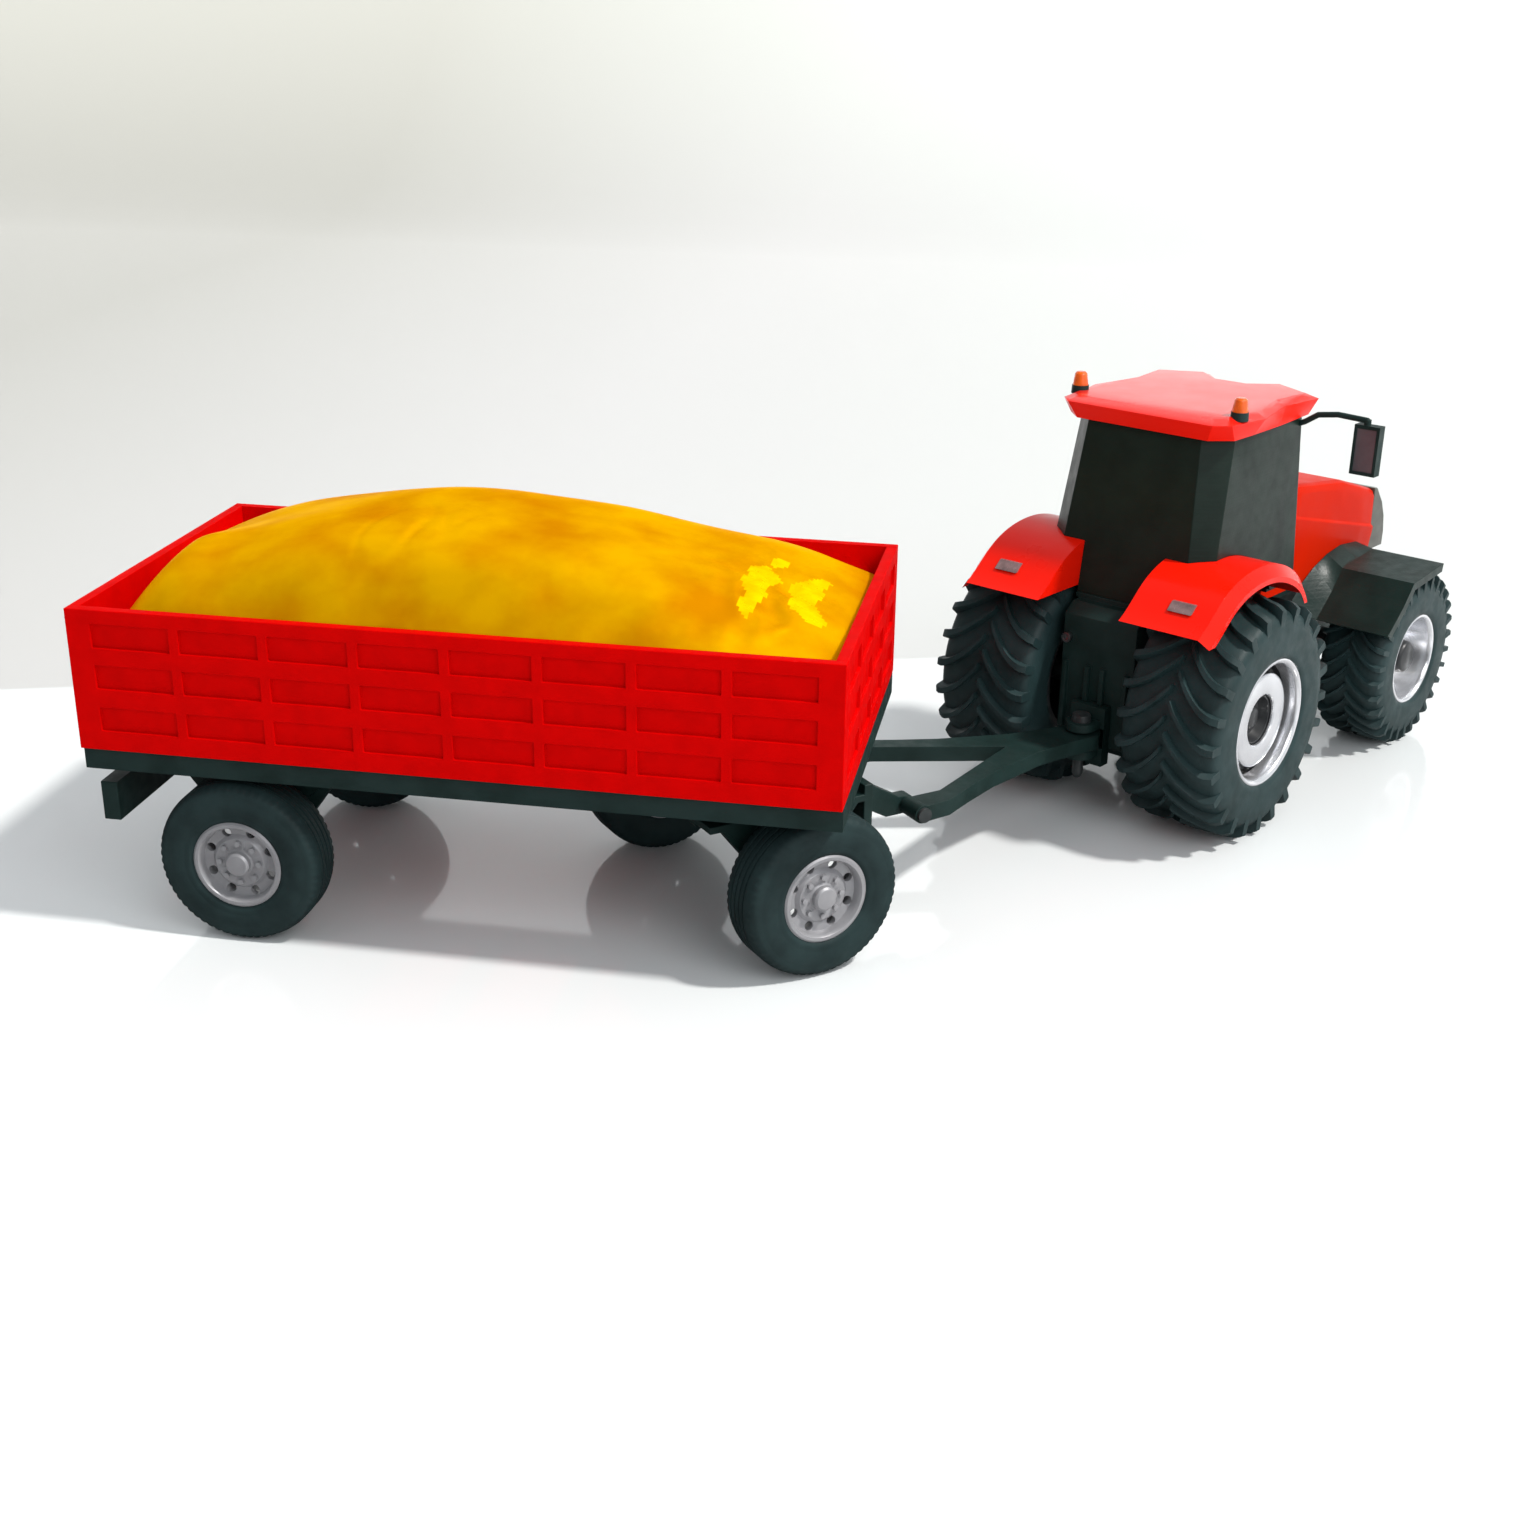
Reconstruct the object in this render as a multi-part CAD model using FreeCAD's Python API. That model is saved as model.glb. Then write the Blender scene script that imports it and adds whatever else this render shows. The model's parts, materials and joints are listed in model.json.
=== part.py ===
import FreeCAD, Part
import math
import os

# Toy tractor hitched to a four-wheel farm trailer that carries a loose heap.
# All sizes are in millimetres. Three working frames are used, each with +Z up and the ground at z = 0:
#   trailer frame: x = 0 at the tail of the box, +X forward, +Y left
#   bogie frame:   origin on the kingpin, +X towards the hitch pin
#   tractor frame: origin under the rear axle, +X forward, +Y left
# The parts are written in the row frame, which is the trailer frame moved so that its origin
# lies under the middle of the whole toy.

# ---- how the vehicle stands -------------------------------------------------------------------
KINGPIN_X = 242.9
BOGIE_HEADING = 39.7
TRACTOR_HEADING = 59.0
HITCH_FROM_KINGPIN = 181.6
HITCH_BEHIND_AXLE = 40.0

# ---- trailer box --------------------------------------------------------------------------------
BOX_LENGTH = 300.0
BOX_HALF_WIDTH = 78.5
BOX_BOTTOM = 78.8
BOX_TOP = 136.0
WALL = 4.5
FLOOR = 3.0
PANEL_COLUMNS = 8
END_COLUMNS = 4
PANEL_ROWS = (86.9, 104.2, 120.8)
PANEL_ROW_HEIGHT = 9.6
PANEL_RIB = 4.0
PANEL_MARGIN = 10.0
PANEL_DEPTH = 1.3

# ---- trailer running gear -----------------------------------------------------------------------
CHASSIS_BOTTOM = 69.6
CHASSIS_HALF_WIDTH = 76.0
TRAILER_AXLE_X = 59.9
TRAILER_WHEEL_RADIUS = 33.5
TRAILER_WHEEL_MID = 66.6
TRAILER_TYRE_HALF = 11.3
TRAILER_RIM_RADIUS = 18.2
TRAILER_STUB_RADIUS = 2.5
TRAILER_AXLE_RADIUS = 4.5
HANGER_INNER = 44.0
HANGER_OUTER = 50.0
TURNTABLE_RADIUS = 30.0
KINGPIN_RADIUS = 4.0
DRAWBAR_LOW = 36.0
DRAWBAR_HIGH = 43.0
DRAWBAR_HINGE_X = 70.0
HINGE_Z = 39.5
HINGE_PIN_RADIUS = 2.0
HINGE_EYE_RADIUS = 4.0
HITCH_PIN_RADIUS = 2.5
RUNNING = 0.06

# ---- tractor ------------------------------------------------------------------------------------
WHEELBASE = 156.8
REAR_WHEEL_RADIUS = 54.7
REAR_WHEEL_MID = 49.0
REAR_TYRE_HALF = 24.5
REAR_RIM_RADIUS = 29.4
REAR_LUGS = 24
FRONT_WHEEL_RADIUS = 44.1
FRONT_WHEEL_MID = 54.5
FRONT_TYRE_HALF = 17.0
FRONT_RIM_RADIUS = 22.8
FRONT_LUGS = 30
BODY_HALF = 19.0
PLATFORM_TOP = 99.8
PLATFORM_FRONT = 70.0
HOOD_BOTTOM = 84.0
HOOD_HALF = 26.0
HOOD_REAR = 66.0
HOOD_FRONT = 190.0
SHELL = 2.2
ROOF_BOTTOM = 177.0
ROOF_EDGE = 184.5
ROOF_TOP = 187.0
FENDER_INNER = 21.0
FENDER_FLAT = 60.0
FENDER_OUTER = 64.2
BEACON_X = 3.0
BEACON_Y = 40.4
BEACON_FOOT = 185.2
BEACON_RADIUS = 4.0
BEACON_BASE = 3.7

V = FreeCAD.Vector
UP = V(0, 0, 1)
LEFT = V(0, 1, 0)
ORIGIN = V(0, 0, 0)


# ---- small shape helpers ------------------------------------------------------------------------
def box(x0, x1, y0, y1, z0, z1):
    return Part.makeBox(x1 - x0, y1 - y0, z1 - z0, V(x0, y0, z0))


def rod_y(radius, y0, y1, x=0.0, z=0.0):
    return Part.makeCylinder(radius, y1 - y0, V(x, y0, z), LEFT)


def rod_z(radius, z0, z1, x=0.0, y=0.0):
    return Part.makeCylinder(radius, z1 - z0, V(x, y, z0), UP)


def rod_between(radius, start, end):
    axis = end.sub(start)
    return Part.makeCylinder(radius, axis.Length, start, axis)


def prism_y(points, y0, y1):
    """Closed polygon of (x, z) points, drawn out along Y."""
    corners = [V(x, y0, z) for x, z in points]
    face = Part.Face(Part.makePolygon(corners + corners[:1]))
    return face.extrude(V(0, y1 - y0, 0))


def prism_z(points, z0, z1):
    """Closed polygon of (x, y) points, drawn out along Z."""
    corners = [V(x, y, z0) for x, y in points]
    face = Part.Face(Part.makePolygon(corners + corners[:1]))
    return face.extrude(V(0, 0, z1 - z0))


def turned_y(profile):
    """Closed polygon of (radius, y) points, turned about the Y axis."""
    corners = [V(radius, y, 0) for radius, y in profile]
    face = Part.Face(Part.makePolygon(corners + corners[:1]))
    return face.revolve(ORIGIN, LEFT, 360)


def fused(first, others):
    return first.multiFuse(others).removeSplitter()


def both_sides(shape):
    """A left-hand shape and its right-hand mirror image."""
    return shape, shape.mirror(ORIGIN, LEFT)


def mirrored_points(points):
    """Adds the mirror image of a half outline given from front to back on the left side."""
    return points + [(x, -y) for x, y in reversed(points)]


def grown(points, distance):
    """Moves each point of an open polyline sideways, to the right of its direction, by distance."""
    moved = []
    last = len(points) - 1
    for index, (x, z) in enumerate(points):
        x0, z0 = points[max(index - 1, 0)]
        x1, z1 = points[min(index + 1, last)]
        length = math.hypot(x1 - x0, z1 - z0)
        moved.append((x + (z1 - z0) / length * distance, z - (x1 - x0) / length * distance))
    return moved


# ---- wheels: axis along Y, mid-plane at y = 0, outer side towards +Y ----------------------------
def lug_section(angle, y, half_angle, low, high):
    corners = []
    for turn, radius in ((-1, low), (1, low), (0.72, high), (-0.72, high)):
        bearing = angle + turn * half_angle
        corners.append(V(radius * math.cos(bearing), y, radius * math.sin(bearing)))
    return Part.makePolygon(corners + corners[:1])


def lug_bar(phase, side, pitch, half_width, low, high):
    """One bar of the chevron tread, from just past the middle out to the shoulder."""
    stations = ((0.06, 0.0, 0.12), (0.42, 0.42, 0.13), (0.82, 0.70, 0.15), (0.985, 0.74, 0.16))
    wires = []
    for reach, lead, thickness in stations:
        shoulder = 0.0 if reach < 0.9 else 0.03 * high
        angle = phase + lead * pitch * 1.6
        y = side * reach * half_width
        wires.append(lug_section(angle, y, thickness * pitch, low, high - shoulder))
    return Part.makeLoft(wires, True, True)


def farm_tyre(radius, half_width, rim_radius, lugs, lug_height):
    crown = radius - lug_height
    shoulder = 0.80 * half_width
    profile = [(rim_radius, -half_width + 1.3), (rim_radius + 2.2, -half_width + 0.1),
               (crown - 5.5, -half_width + 0.1), (crown - 1.6, -half_width + 2.4),
               (crown, -shoulder), (crown, shoulder),
               (crown - 1.6, half_width - 2.4), (crown - 5.5, half_width - 0.1),
               (rim_radius + 2.2, half_width - 0.1), (rim_radius, half_width - 1.3)]
    carcass = turned_y(profile)
    pitch = 2 * math.pi / lugs
    bars = []
    for index in range(lugs):
        for side in (-1, 1):
            stagger = 0.25 * pitch * side
            phase = index * pitch + stagger - math.pi / 2
            bars.append(lug_bar(phase, side, pitch, half_width, crown - 2.6, radius))
    return fused(carcass, bars)


def rear_rim():
    half = REAR_TYRE_HALF
    rim = REAR_RIM_RADIUS
    profile = [(rim, -half + 1.3), (rim, half - 1.2), (rim - 1.0, half - 1.0), (26.6, half - 1.6),
               (26.0, half - 4.0), (25.4, 6.0), (21.8, 6.0), (21.8, half - 5.8),
               (21.0, half - 5.2), (12.2, half - 5.2), (11.6, half - 5.8), (11.6, 6.0),
               (4.0 + RUNNING, 6.0), (4.0 + RUNNING, 2.0), (25.4, 2.0), (26.8, -half + 1.3)]
    return turned_y(profile)


def rear_hub():
    half = REAR_TYRE_HALF
    profile = [(0, 8.2), (11.6, 8.2), (11.6, half - 7.2), (10.6, half - 7.2), (8.6, 12.5),
               (5.6, 12.0), (5.0, 15.0), (0, 15.6)]
    return turned_y(profile)


def front_rim():
    half = FRONT_TYRE_HALF
    rim = FRONT_RIM_RADIUS
    profile = [(rim, -half + 1.3), (rim, half - 1.3), (rim - 0.8, half - 1.1),
               (21.0, half - 1.8), (20.2, half - 4.0), (17.0, 1.5), (15.5, 0.0),
               (3.5 + RUNNING, 0.0), (3.5 + RUNNING, -4.0), (17.5, -4.0), (20.6, -half + 1.3)]
    return turned_y(profile)


def front_hub():
    profile = [(6.2, 0.0), (9.2, 0.0), (8.8, 7.5), (8.0, 11.2), (6.8, 12.4), (0, 12.8), (0, 2.3), (6.2, 2.3)]
    return turned_y(profile)


def trailer_tyre():
    half = TRAILER_TYRE_HALF
    radius = TRAILER_WHEEL_RADIUS
    profile = [(TRAILER_RIM_RADIUS, -half + 1.0), (20.0, -half), (28.5, -half), (31.6, -half + 0.8),
               (33.0, -half + 2.4), (radius, -half + 4.5), (radius, half - 4.5), (33.0, half - 2.4),
               (31.6, half - 0.8), (28.5, half), (20.0, half), (TRAILER_RIM_RADIUS, half - 1.0)]
    tyre = turned_y(profile)
    for groove in (-4.6, -1.6, 1.6, 4.6):
        ring = [(radius - 0.8, groove - 0.5), (radius + 1, groove - 0.5),
                (radius + 1, groove + 0.5), (radius - 0.8, groove + 0.5)]
        tyre = tyre.cut(turned_y(ring))
    return tyre


def trailer_rim():
    """Dished rim with eight round windows, eight nuts and a hub cap over the axle end."""
    half = TRAILER_TYRE_HALF
    bore = TRAILER_STUB_RADIUS + RUNNING
    profile = [(TRAILER_RIM_RADIUS, -half + 1.0), (TRAILER_RIM_RADIUS, half - 1.0), (17.4, half - 0.4),
               (16.2, half - 0.4), (15.6, half - 1.2), (15.0, half - 4.5), (11.5, half - 5.0),
               (10.0, half - 3.6), (6.0, half - 3.6), (6.0, 5.0), (bore, 5.0), (bore, 1.6), (8.0, 1.6),
               (10.5, half - 7.2), (15.2, half - 7.2), (16.4, -half + 1.0)]
    disc = turned_y(profile)
    windows = []
    nuts = []
    for index in range(8):
        angle = 2 * math.pi * (index + 0.5) / 8
        windows.append(rod_y(1.9, 0, half, 13.1 * math.cos(angle), 13.1 * math.sin(angle)))
        angle = 2 * math.pi * index / 8
        nuts.append(rod_y(1.15, half - 3.6, half - 2.2, 8.2 * math.cos(angle), 8.2 * math.sin(angle)))
    disc = disc.cut(Part.makeCompound(windows))
    cap = turned_y([(4.2, 5.0), (6.0, 5.0), (6.0, half - 3.6), (4.9, half - 3.0), (4.9, half - 0.9),
                    (4.1, half - 0.1), (0, half + 0.2), (0, half - 2.2), (4.2, half - 2.2)])
    return Part.makeCompound([disc, cap] + nuts)


def stepped_axle(mid, centre_radius, shoulder, stub_radius, head_in, head_out, head_radius):
    """Fixed axle: thick middle, thin stub through each wheel and a retaining head outside it."""
    half = [(0, 0), (centre_radius, 0), (centre_radius, mid + shoulder), (stub_radius, mid + shoulder),
            (stub_radius, mid + head_in), (head_radius, mid + head_in), (head_radius, mid + head_out),
            (0, mid + head_out)]
    left = turned_y(half)
    return fused(left, [left.mirror(ORIGIN, LEFT)])


# ---- tractor pieces, in the tractor frame -------------------------------------------------------
def fender_crown():
    """Side profile of the rear fender, from its rear lip over the top to its front tip."""
    return [(-50.7, 102.9), (-41.3, 109.3), (-33.0, 115.8), (-22.2, 121.1), (-7.7, 124.1), (10.0, 123.5),
            (28.0, 117.6), (39.5, 109.6), (44.5, 102.6)]


def crown_wire(points, y):
    """Smooth curve through the profile at one depth, closed along its foot."""
    curve = Part.BSplineCurve()
    curve.interpolate([V(x, y, z) for x, z in points])
    foot = Part.LineSegment(curve.EndPoint, curve.StartPoint).toShape()
    return Part.Wire([curve.toShape(), foot])


def crown_prism(points, y0, y1):
    return Part.Face(crown_wire(points, y0)).extrude(V(0, y1 - y0, 0))


def crown_taper(y0, inset0, y1, inset1):
    """Solid under the crown whose profile shrinks from one depth to the other."""
    near = crown_wire(grown(fender_crown(), inset0), y0)
    far = crown_wire(grown(fender_crown(), inset1), y1)
    return Part.makeLoft([near, far], True, True)


def rear_fender():
    """Open-bottomed cover: flat across the top, with a broad bevel along its outer edge."""
    crown = fender_crown()
    outer = fused(crown_prism(crown, FENDER_INNER, FENDER_FLAT),
                  [crown_taper(FENDER_FLAT, 0.0, FENDER_OUTER, 5.0)])
    hollow = crown_prism(grown(crown, SHELL), FENDER_INNER + SHELL, FENDER_FLAT)
    bevel = crown_taper(FENDER_FLAT - 0.2, SHELL, FENDER_OUTER + 0.8, 8.4)
    return outer.cut(hollow).cut(bevel)


def fender_envelope():
    """Space taken by one rear fender and everything under it, which the cab walls end on."""
    crown = fender_crown()
    below = prism_y([crown[0], crown[-1], (55, 60), (-55, 60)], FENDER_INNER, FENDER_OUTER)
    return crown_prism(crown, FENDER_INNER, FENDER_OUTER).fuse(below)


def tail_light():
    """Flat lamp that follows the rear lip of the fender."""
    crown = fender_crown()
    band = crown_prism(grown(crown, -0.9), 39.2, 50.6).cut(crown_prism(crown, 38, 52))
    return band.common(box(-46, -34, 39.2, 50.6, 109.8, 113.2))


def cab_outline(z, inset=0.0):
    """Plan outline of the cab at height z: flat rear, chamfered rear corners, straight sides."""
    drop = ROOF_BOTTOM - z
    rear = -6.8 - drop * 0.146 + inset
    front = 67.5 + drop * 0.035 - inset
    half = 39.0 + drop * 0.049 - inset
    flat = 28.5 + drop * 0.068 - inset * 0.6
    corner = 4.0 - drop * 0.198 + inset * 0.6
    half_points = [(front, half - 2.0), (front - 2.0, half), (corner, half), (rear, flat)]
    return [V(x, y, z) for x, y in mirrored_points(half_points)]


def cab_block(z0, z1, inset=0.0):
    low = cab_outline(z0, inset)
    high = cab_outline(z1, inset)
    wires = [Part.makePolygon(low + low[:1]), Part.makePolygon(high + high[:1])]
    return Part.makeLoft(wires, True, True)


def cab_shell():
    shell = cab_block(PLATFORM_TOP, ROOF_BOTTOM).cut(cab_block(PLATFORM_TOP - 1, ROOF_BOTTOM - 2.4, SHELL))
    envelope = fender_envelope()
    return shell.cut(envelope).cut(envelope.mirror(ORIGIN, LEFT))


def roof_rings():
    """Half outlines of the roof at its underside, its edge and its top, each from front to back."""
    return [(ROOF_BOTTOM, [(64.0, 8.0), (76.0, 19.0), (70.5, 39.6), (40.0, 41.5), (15.0, 42.0), (-1.5, 41.6),
                           (-9.8, 33.0)]),
            (ROOF_EDGE, [(73.0, 8.0), (86.0, 20.5), (72.5, 42.8), (47.0, 39.5), (17.0, 45.8), (-6.5, 42.5),
                         (-13.0, 36.5)]),
            (ROOF_TOP, [(68.0, 8.0), (78.0, 20.0), (68.0, 38.0), (45.0, 35.5), (17.0, 41.0), (-3.0, 38.0),
                        (-8.5, 33.0)])]


def cab_roof():
    """Faceted roof: flares out from the windows to its edge, then folds in to a flat top."""
    wires = []
    for z, half in roof_rings():
        corners = [V(x, y, z) for x, y in mirrored_points(half)]
        wires.append(Part.makePolygon(corners + corners[:1]))
    roof = fused(Part.makeLoft(wires[:2], True, True), [Part.makeLoft(wires[1:], True, True)])
    for side in (-1, 1):
        roof = roof.cut(rod_z(BEACON_RADIUS, BEACON_FOOT, ROOF_TOP + 5, BEACON_X, side * BEACON_Y))
    return roof


def beacon_bases():
    return Part.makeCompound([Part.makeCone(BEACON_RADIUS, BEACON_RADIUS - 0.2, BEACON_BASE,
                                            V(BEACON_X, side * BEACON_Y, BEACON_FOOT), UP) for side in (-1, 1)])


def beacon_lens():
    start = BEACON_FOOT + BEACON_BASE
    lens = Part.makeCone(3.6, 2.8, 5.2, V(BEACON_X, BEACON_Y, start), UP)
    cap = Part.makeCone(2.8, 1.9, 0.8, V(BEACON_X, BEACON_Y, start + 5.2), UP)
    return fused(lens, [cap])


def hood_section(x, top, half, low=HOOD_BOTTOM, inset=0.0):
    """Cross-section of the hood: flat top, rounded shoulder, and a side that steps out at a falling ledge."""
    side = half - inset
    roof = top - inset
    ledge = 120.0 - 0.245 * (x - 102.6)
    half_points = [(roof, side - 3.4), (roof - 1.2, side - 1.2), (roof - 4.0, side),
                   (ledge, side + 0.3), (ledge - 1.2, side + 1.6), (low, side)]
    corners = [V(x, y, z) for z, y in half_points] + [V(x, -y, z) for z, y in reversed(half_points)]
    return Part.makePolygon(corners + corners[:1])


def hood_stations():
    return [(HOOD_REAR, 140.3, HOOD_HALF), (101.0, 135.8, HOOD_HALF), (149.0, 129.2, HOOD_HALF),
            (172.0, 122.4, HOOD_HALF - 0.4), (HOOD_FRONT, 117.0, HOOD_HALF - 2.0)]


def hood():
    """Sheet cover over the engine, closed at both ends and open below; its rear end stands on the cab front."""
    outer = Part.makeLoft([hood_section(*station) for station in hood_stations()], True, True)
    inner = Part.makeLoft([hood_section(*station, HOOD_BOTTOM - 3, SHELL) for station in hood_stations()],
                          True, True)
    room = box(HOOD_REAR + 3 * SHELL, HOOD_FRONT - SHELL, -HOOD_HALF, HOOD_HALF, HOOD_BOTTOM - 5, 150)
    return outer.cut(inner.common(room)).cut(cab_block(PLATFORM_TOP - 20, ROOF_BOTTOM))


def grille():
    half = HOOD_HALF - 2.0
    profile = [(HOOD_FRONT, HOOD_BOTTOM), (209.5, HOOD_BOTTOM), (209.5, 92.0), (207.5, 101.0),
               (203.0, 109.5), (197.0, 116.2), (HOOD_FRONT, 117.5)]
    nose = prism_y(profile, -half, half)
    upright = [edge for edge in nose.Edges if abs(edge.BoundBox.YMax - edge.BoundBox.YMin) < 0.01
               and edge.BoundBox.XMin > 196.9]
    nose = nose.makeChamfer(2.4, upright)
    for level in (88.0, 93.0, 98.0, 103.0):
        nose = nose.cut(box(206.6 - (level - 88) * 0.2, 212, -half + 6, half - 6, level, level + 2.4))
    return nose


def tractor_chassis():
    """Cast body: gearbox block between the rear wheels, cab platform, engine bed and front bolster."""
    gearbox = prism_y([(-30, 34), (-30, 93), (-24, 97.6), (60, 97.6), (60, 40), (44, 28), (-22, 28)],
                      -BODY_HALF, BODY_HALF)
    platform = box(-19.0, PLATFORM_FRONT, -20.9, 20.9, 97.6, PLATFORM_TOP)
    foot_plate = box(47.0, PLATFORM_FRONT, -40.5, 40.5, 97.6, PLATFORM_TOP)
    engine_bed = box(58, HOOD_FRONT, -15, 15, 50, 82)
    shelf = box(60, HOOD_FRONT, -HOOD_HALF + 2.4, HOOD_HALF - 2.4, 80, HOOD_BOTTOM)
    bolster = prism_y([(128, 38), (120, 52), (194, 52), (188, 38)], -12, 12)
    ribs = [box(-32.4, -30, y - 1.1, y + 1.1, 36, 71) for y in (-16, -4, 4, 16)]
    body = fused(gearbox, [platform, foot_plate, engine_bed, shelf, bolster] + ribs)
    rear_bore = rod_y(6.5, -30, 30, 0, REAR_WHEEL_RADIUS)
    front_bore = rod_y(5.5, -30, 30, WHEELBASE, FRONT_WHEEL_RADIUS)
    pads = prism_y([(-35, 26), (-35, 54), (-29, 54), (-29, 26)], -9, 9)
    return body.cut(rear_bore).cut(front_bore).cut(pads)


def front_arch():
    """Faceted side profile of the front fender, from its front edge back and down."""
    return [(166.0, 93.0), (149.5, 91.5), (133.0, 90.0), (124.0, 80.0), (117.0, 74.2), (110.0, 68.5)]


def front_arch_inboard():
    return [(168.0, 94.4), (150.0, 96.3), (136.0, 94.6), (123.0, 90.5), (111.0, 84.5), (99.0, 74.5)]


def about_front_axle(points, scale):
    return [(WHEELBASE + (x - WHEELBASE) * scale, FRONT_WHEEL_RADIUS + (z - FRONT_WHEEL_RADIUS) * scale)
            for x, z in points]


def arch_ring(points, scale):
    return points + list(reversed(about_front_axle(points, scale)))


def front_fender():
    skin = prism_y(arch_ring(front_arch(), 0.958), 37.5, 75.0)
    lip = prism_y(arch_ring(front_arch(), 0.915), 73.2, 75.0)
    wires = []
    for points, y in ((front_arch(), 37.5), (front_arch_inboard(), HOOD_HALF + 1.0)):
        corners = [V(x, y, z) for x, z in arch_ring(points, 0.958)]
        wires.append(Part.makePolygon(corners + corners[:1]))
    skirt = Part.makeLoft(wires, True, True)
    foot = box(140, 160, HOOD_HALF - 2.4, HOOD_HALF + 2.4, 80, 83.8)
    leg = box(140, 160, HOOD_HALF + 1.0, HOOD_HALF + 2.4, 80, 94.2)
    return fused(skin, [lip, skirt, foot, leg])


def side_mirror():
    """Arm and housing as one moulding, with a shallow recess for the glass."""
    path = [V(64.0, 36.0, 172.5), V(64.0, 41.6, 175.1), V(64.0, 47.6, 179.1), V(64.0, 57.1, 180.6),
            V(64.0, 71.0, 180.1)]
    limbs = [rod_between(1.3, start, end) for start, end in zip(path, path[1:])]
    joints = [Part.makeSphere(1.3, point) for point in path[1:]]
    head = box(62.6, 69.4, 66.0, 78.0, 155.6, 178.0)
    upright = [edge for edge in head.Edges if abs(edge.BoundBox.XMax - edge.BoundBox.XMin) < 0.01
               and edge.BoundBox.XMin > 69.0]
    head = head.makeChamfer(1.6, upright)
    stem = rod_z(1.6, 177.0, 180.4, 64.6, 71.0)
    recess = box(62.0, 63.6, 67.4, 76.6, 157.2, 176.4)
    mirror = fused(limbs[0], limbs[1:] + joints + [head, stem])
    return mirror.cut(recess).cut(cab_block(PLATFORM_TOP, ROOF_BOTTOM))


def mirror_glass():
    return box(62.9, 63.6, 67.4, 76.6, 157.2, 176.4)


def hitch_bracket():
    """Clevis bolted to the gearbox, with a hole for the hitch pin through both tongues."""
    plate = box(-35.0, -29.0, -9.0, 9.0, 26.0, 54.0)
    tongues = []
    for low, high in ((31.0, 34.8), (44.2, 48.0)):
        tongue = box(-HITCH_BEHIND_AXLE, -34.0, -7.0, 7.0, low, high)
        tongues.append(tongue.fuse(rod_z(7.0, low, high, -HITCH_BEHIND_AXLE, 0)))
    bracket = fused(plate, tongues)
    bracket = bracket.cut(rod_z(10.4, 34.8, 44.2, -HITCH_BEHIND_AXLE, 0))
    return bracket.cut(rod_z(HITCH_PIN_RADIUS + RUNNING, 20, 60, -HITCH_BEHIND_AXLE, 0))


def hitch_pin():
    shank = rod_z(HITCH_PIN_RADIUS, 22.5, 48.0, -HITCH_BEHIND_AXLE, 0)
    point = Part.makeCone(1.5, HITCH_PIN_RADIUS, 2.0, V(-HITCH_BEHIND_AXLE, 0, 20.5), UP)
    head = Part.makeCone(4.6, 4.0, 3.2, V(-HITCH_BEHIND_AXLE, 0, 48.0), UP)
    return fused(shank, [point, head])


def rear_coupler():
    """Small round hose socket on the back of the gearbox."""
    socket = Part.makeCylinder(2.3, 2.4, V(-30.0, 16.2, 82.0), V(-1, 0, 0))
    return socket.cut(Part.makeCylinder(1.2, 1.4, V(-31.0, 16.2, 82.0), V(-1, 0, 0)))


def tractor_pieces():
    fender_left, fender_right = both_sides(rear_fender())
    light_left, light_right = both_sides(tail_light())
    front_left, front_right = both_sides(front_fender())
    lens_left, lens_right = both_sides(beacon_lens())
    chassis = tractor_chassis()
    rear = stepped_axle(REAR_WHEEL_MID, 6.5, 1.6, 4.0, 6.3, 7.8, 7.0)
    front = stepped_axle(FRONT_WHEEL_MID, 5.5, -4.4, 3.5, 0.3, 1.9, 5.4)
    return {
        "tractor_chassis": chassis, "cab_shell": cab_shell(), "cab_roof": cab_roof(),
        "beacon_bases": beacon_bases(), "beacon_lens_left": lens_left, "beacon_lens_right": lens_right,
        "rear_fender_left": fender_left, "rear_fender_right": fender_right,
        "tail_light_left": light_left, "tail_light_right": light_right,
        "hood": hood(), "grille": grille(),
        "front_fender_left": front_left, "front_fender_right": front_right,
        "mirror_right": side_mirror().mirror(ORIGIN, LEFT),
        "mirror_glass_right": mirror_glass().mirror(ORIGIN, LEFT),
        "rear_axle": rear.translated(V(0, 0, REAR_WHEEL_RADIUS)),
        "front_axle": front.translated(V(WHEELBASE, 0, FRONT_WHEEL_RADIUS)),
        "hitch_bracket": hitch_bracket(), "rear_coupler": rear_coupler(), "hitch_pin": hitch_pin(),
    }


def tractor_wheels():
    kinds = {
        "rear": (0.0, REAR_WHEEL_RADIUS, REAR_WHEEL_MID,
                 {"tyre": farm_tyre(REAR_WHEEL_RADIUS, REAR_TYRE_HALF, REAR_RIM_RADIUS, REAR_LUGS, 3.6),
                  "rim": rear_rim(), "hub": rear_hub()}),
        "front": (WHEELBASE, FRONT_WHEEL_RADIUS, FRONT_WHEEL_MID,
                  {"tyre": farm_tyre(FRONT_WHEEL_RADIUS, FRONT_TYRE_HALF, FRONT_RIM_RADIUS, FRONT_LUGS, 2.8),
                   "rim": front_rim(), "hub": front_hub()}),
    }
    pieces = {}
    for end, (x, radius, mid, solids) in kinds.items():
        for name, solid in solids.items():
            left, right = both_sides(solid.translated(V(x, mid, radius)))
            pieces[f"{end}_left_{name}"] = left
            pieces[f"{end}_right_{name}"] = right
    return pieces


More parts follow.
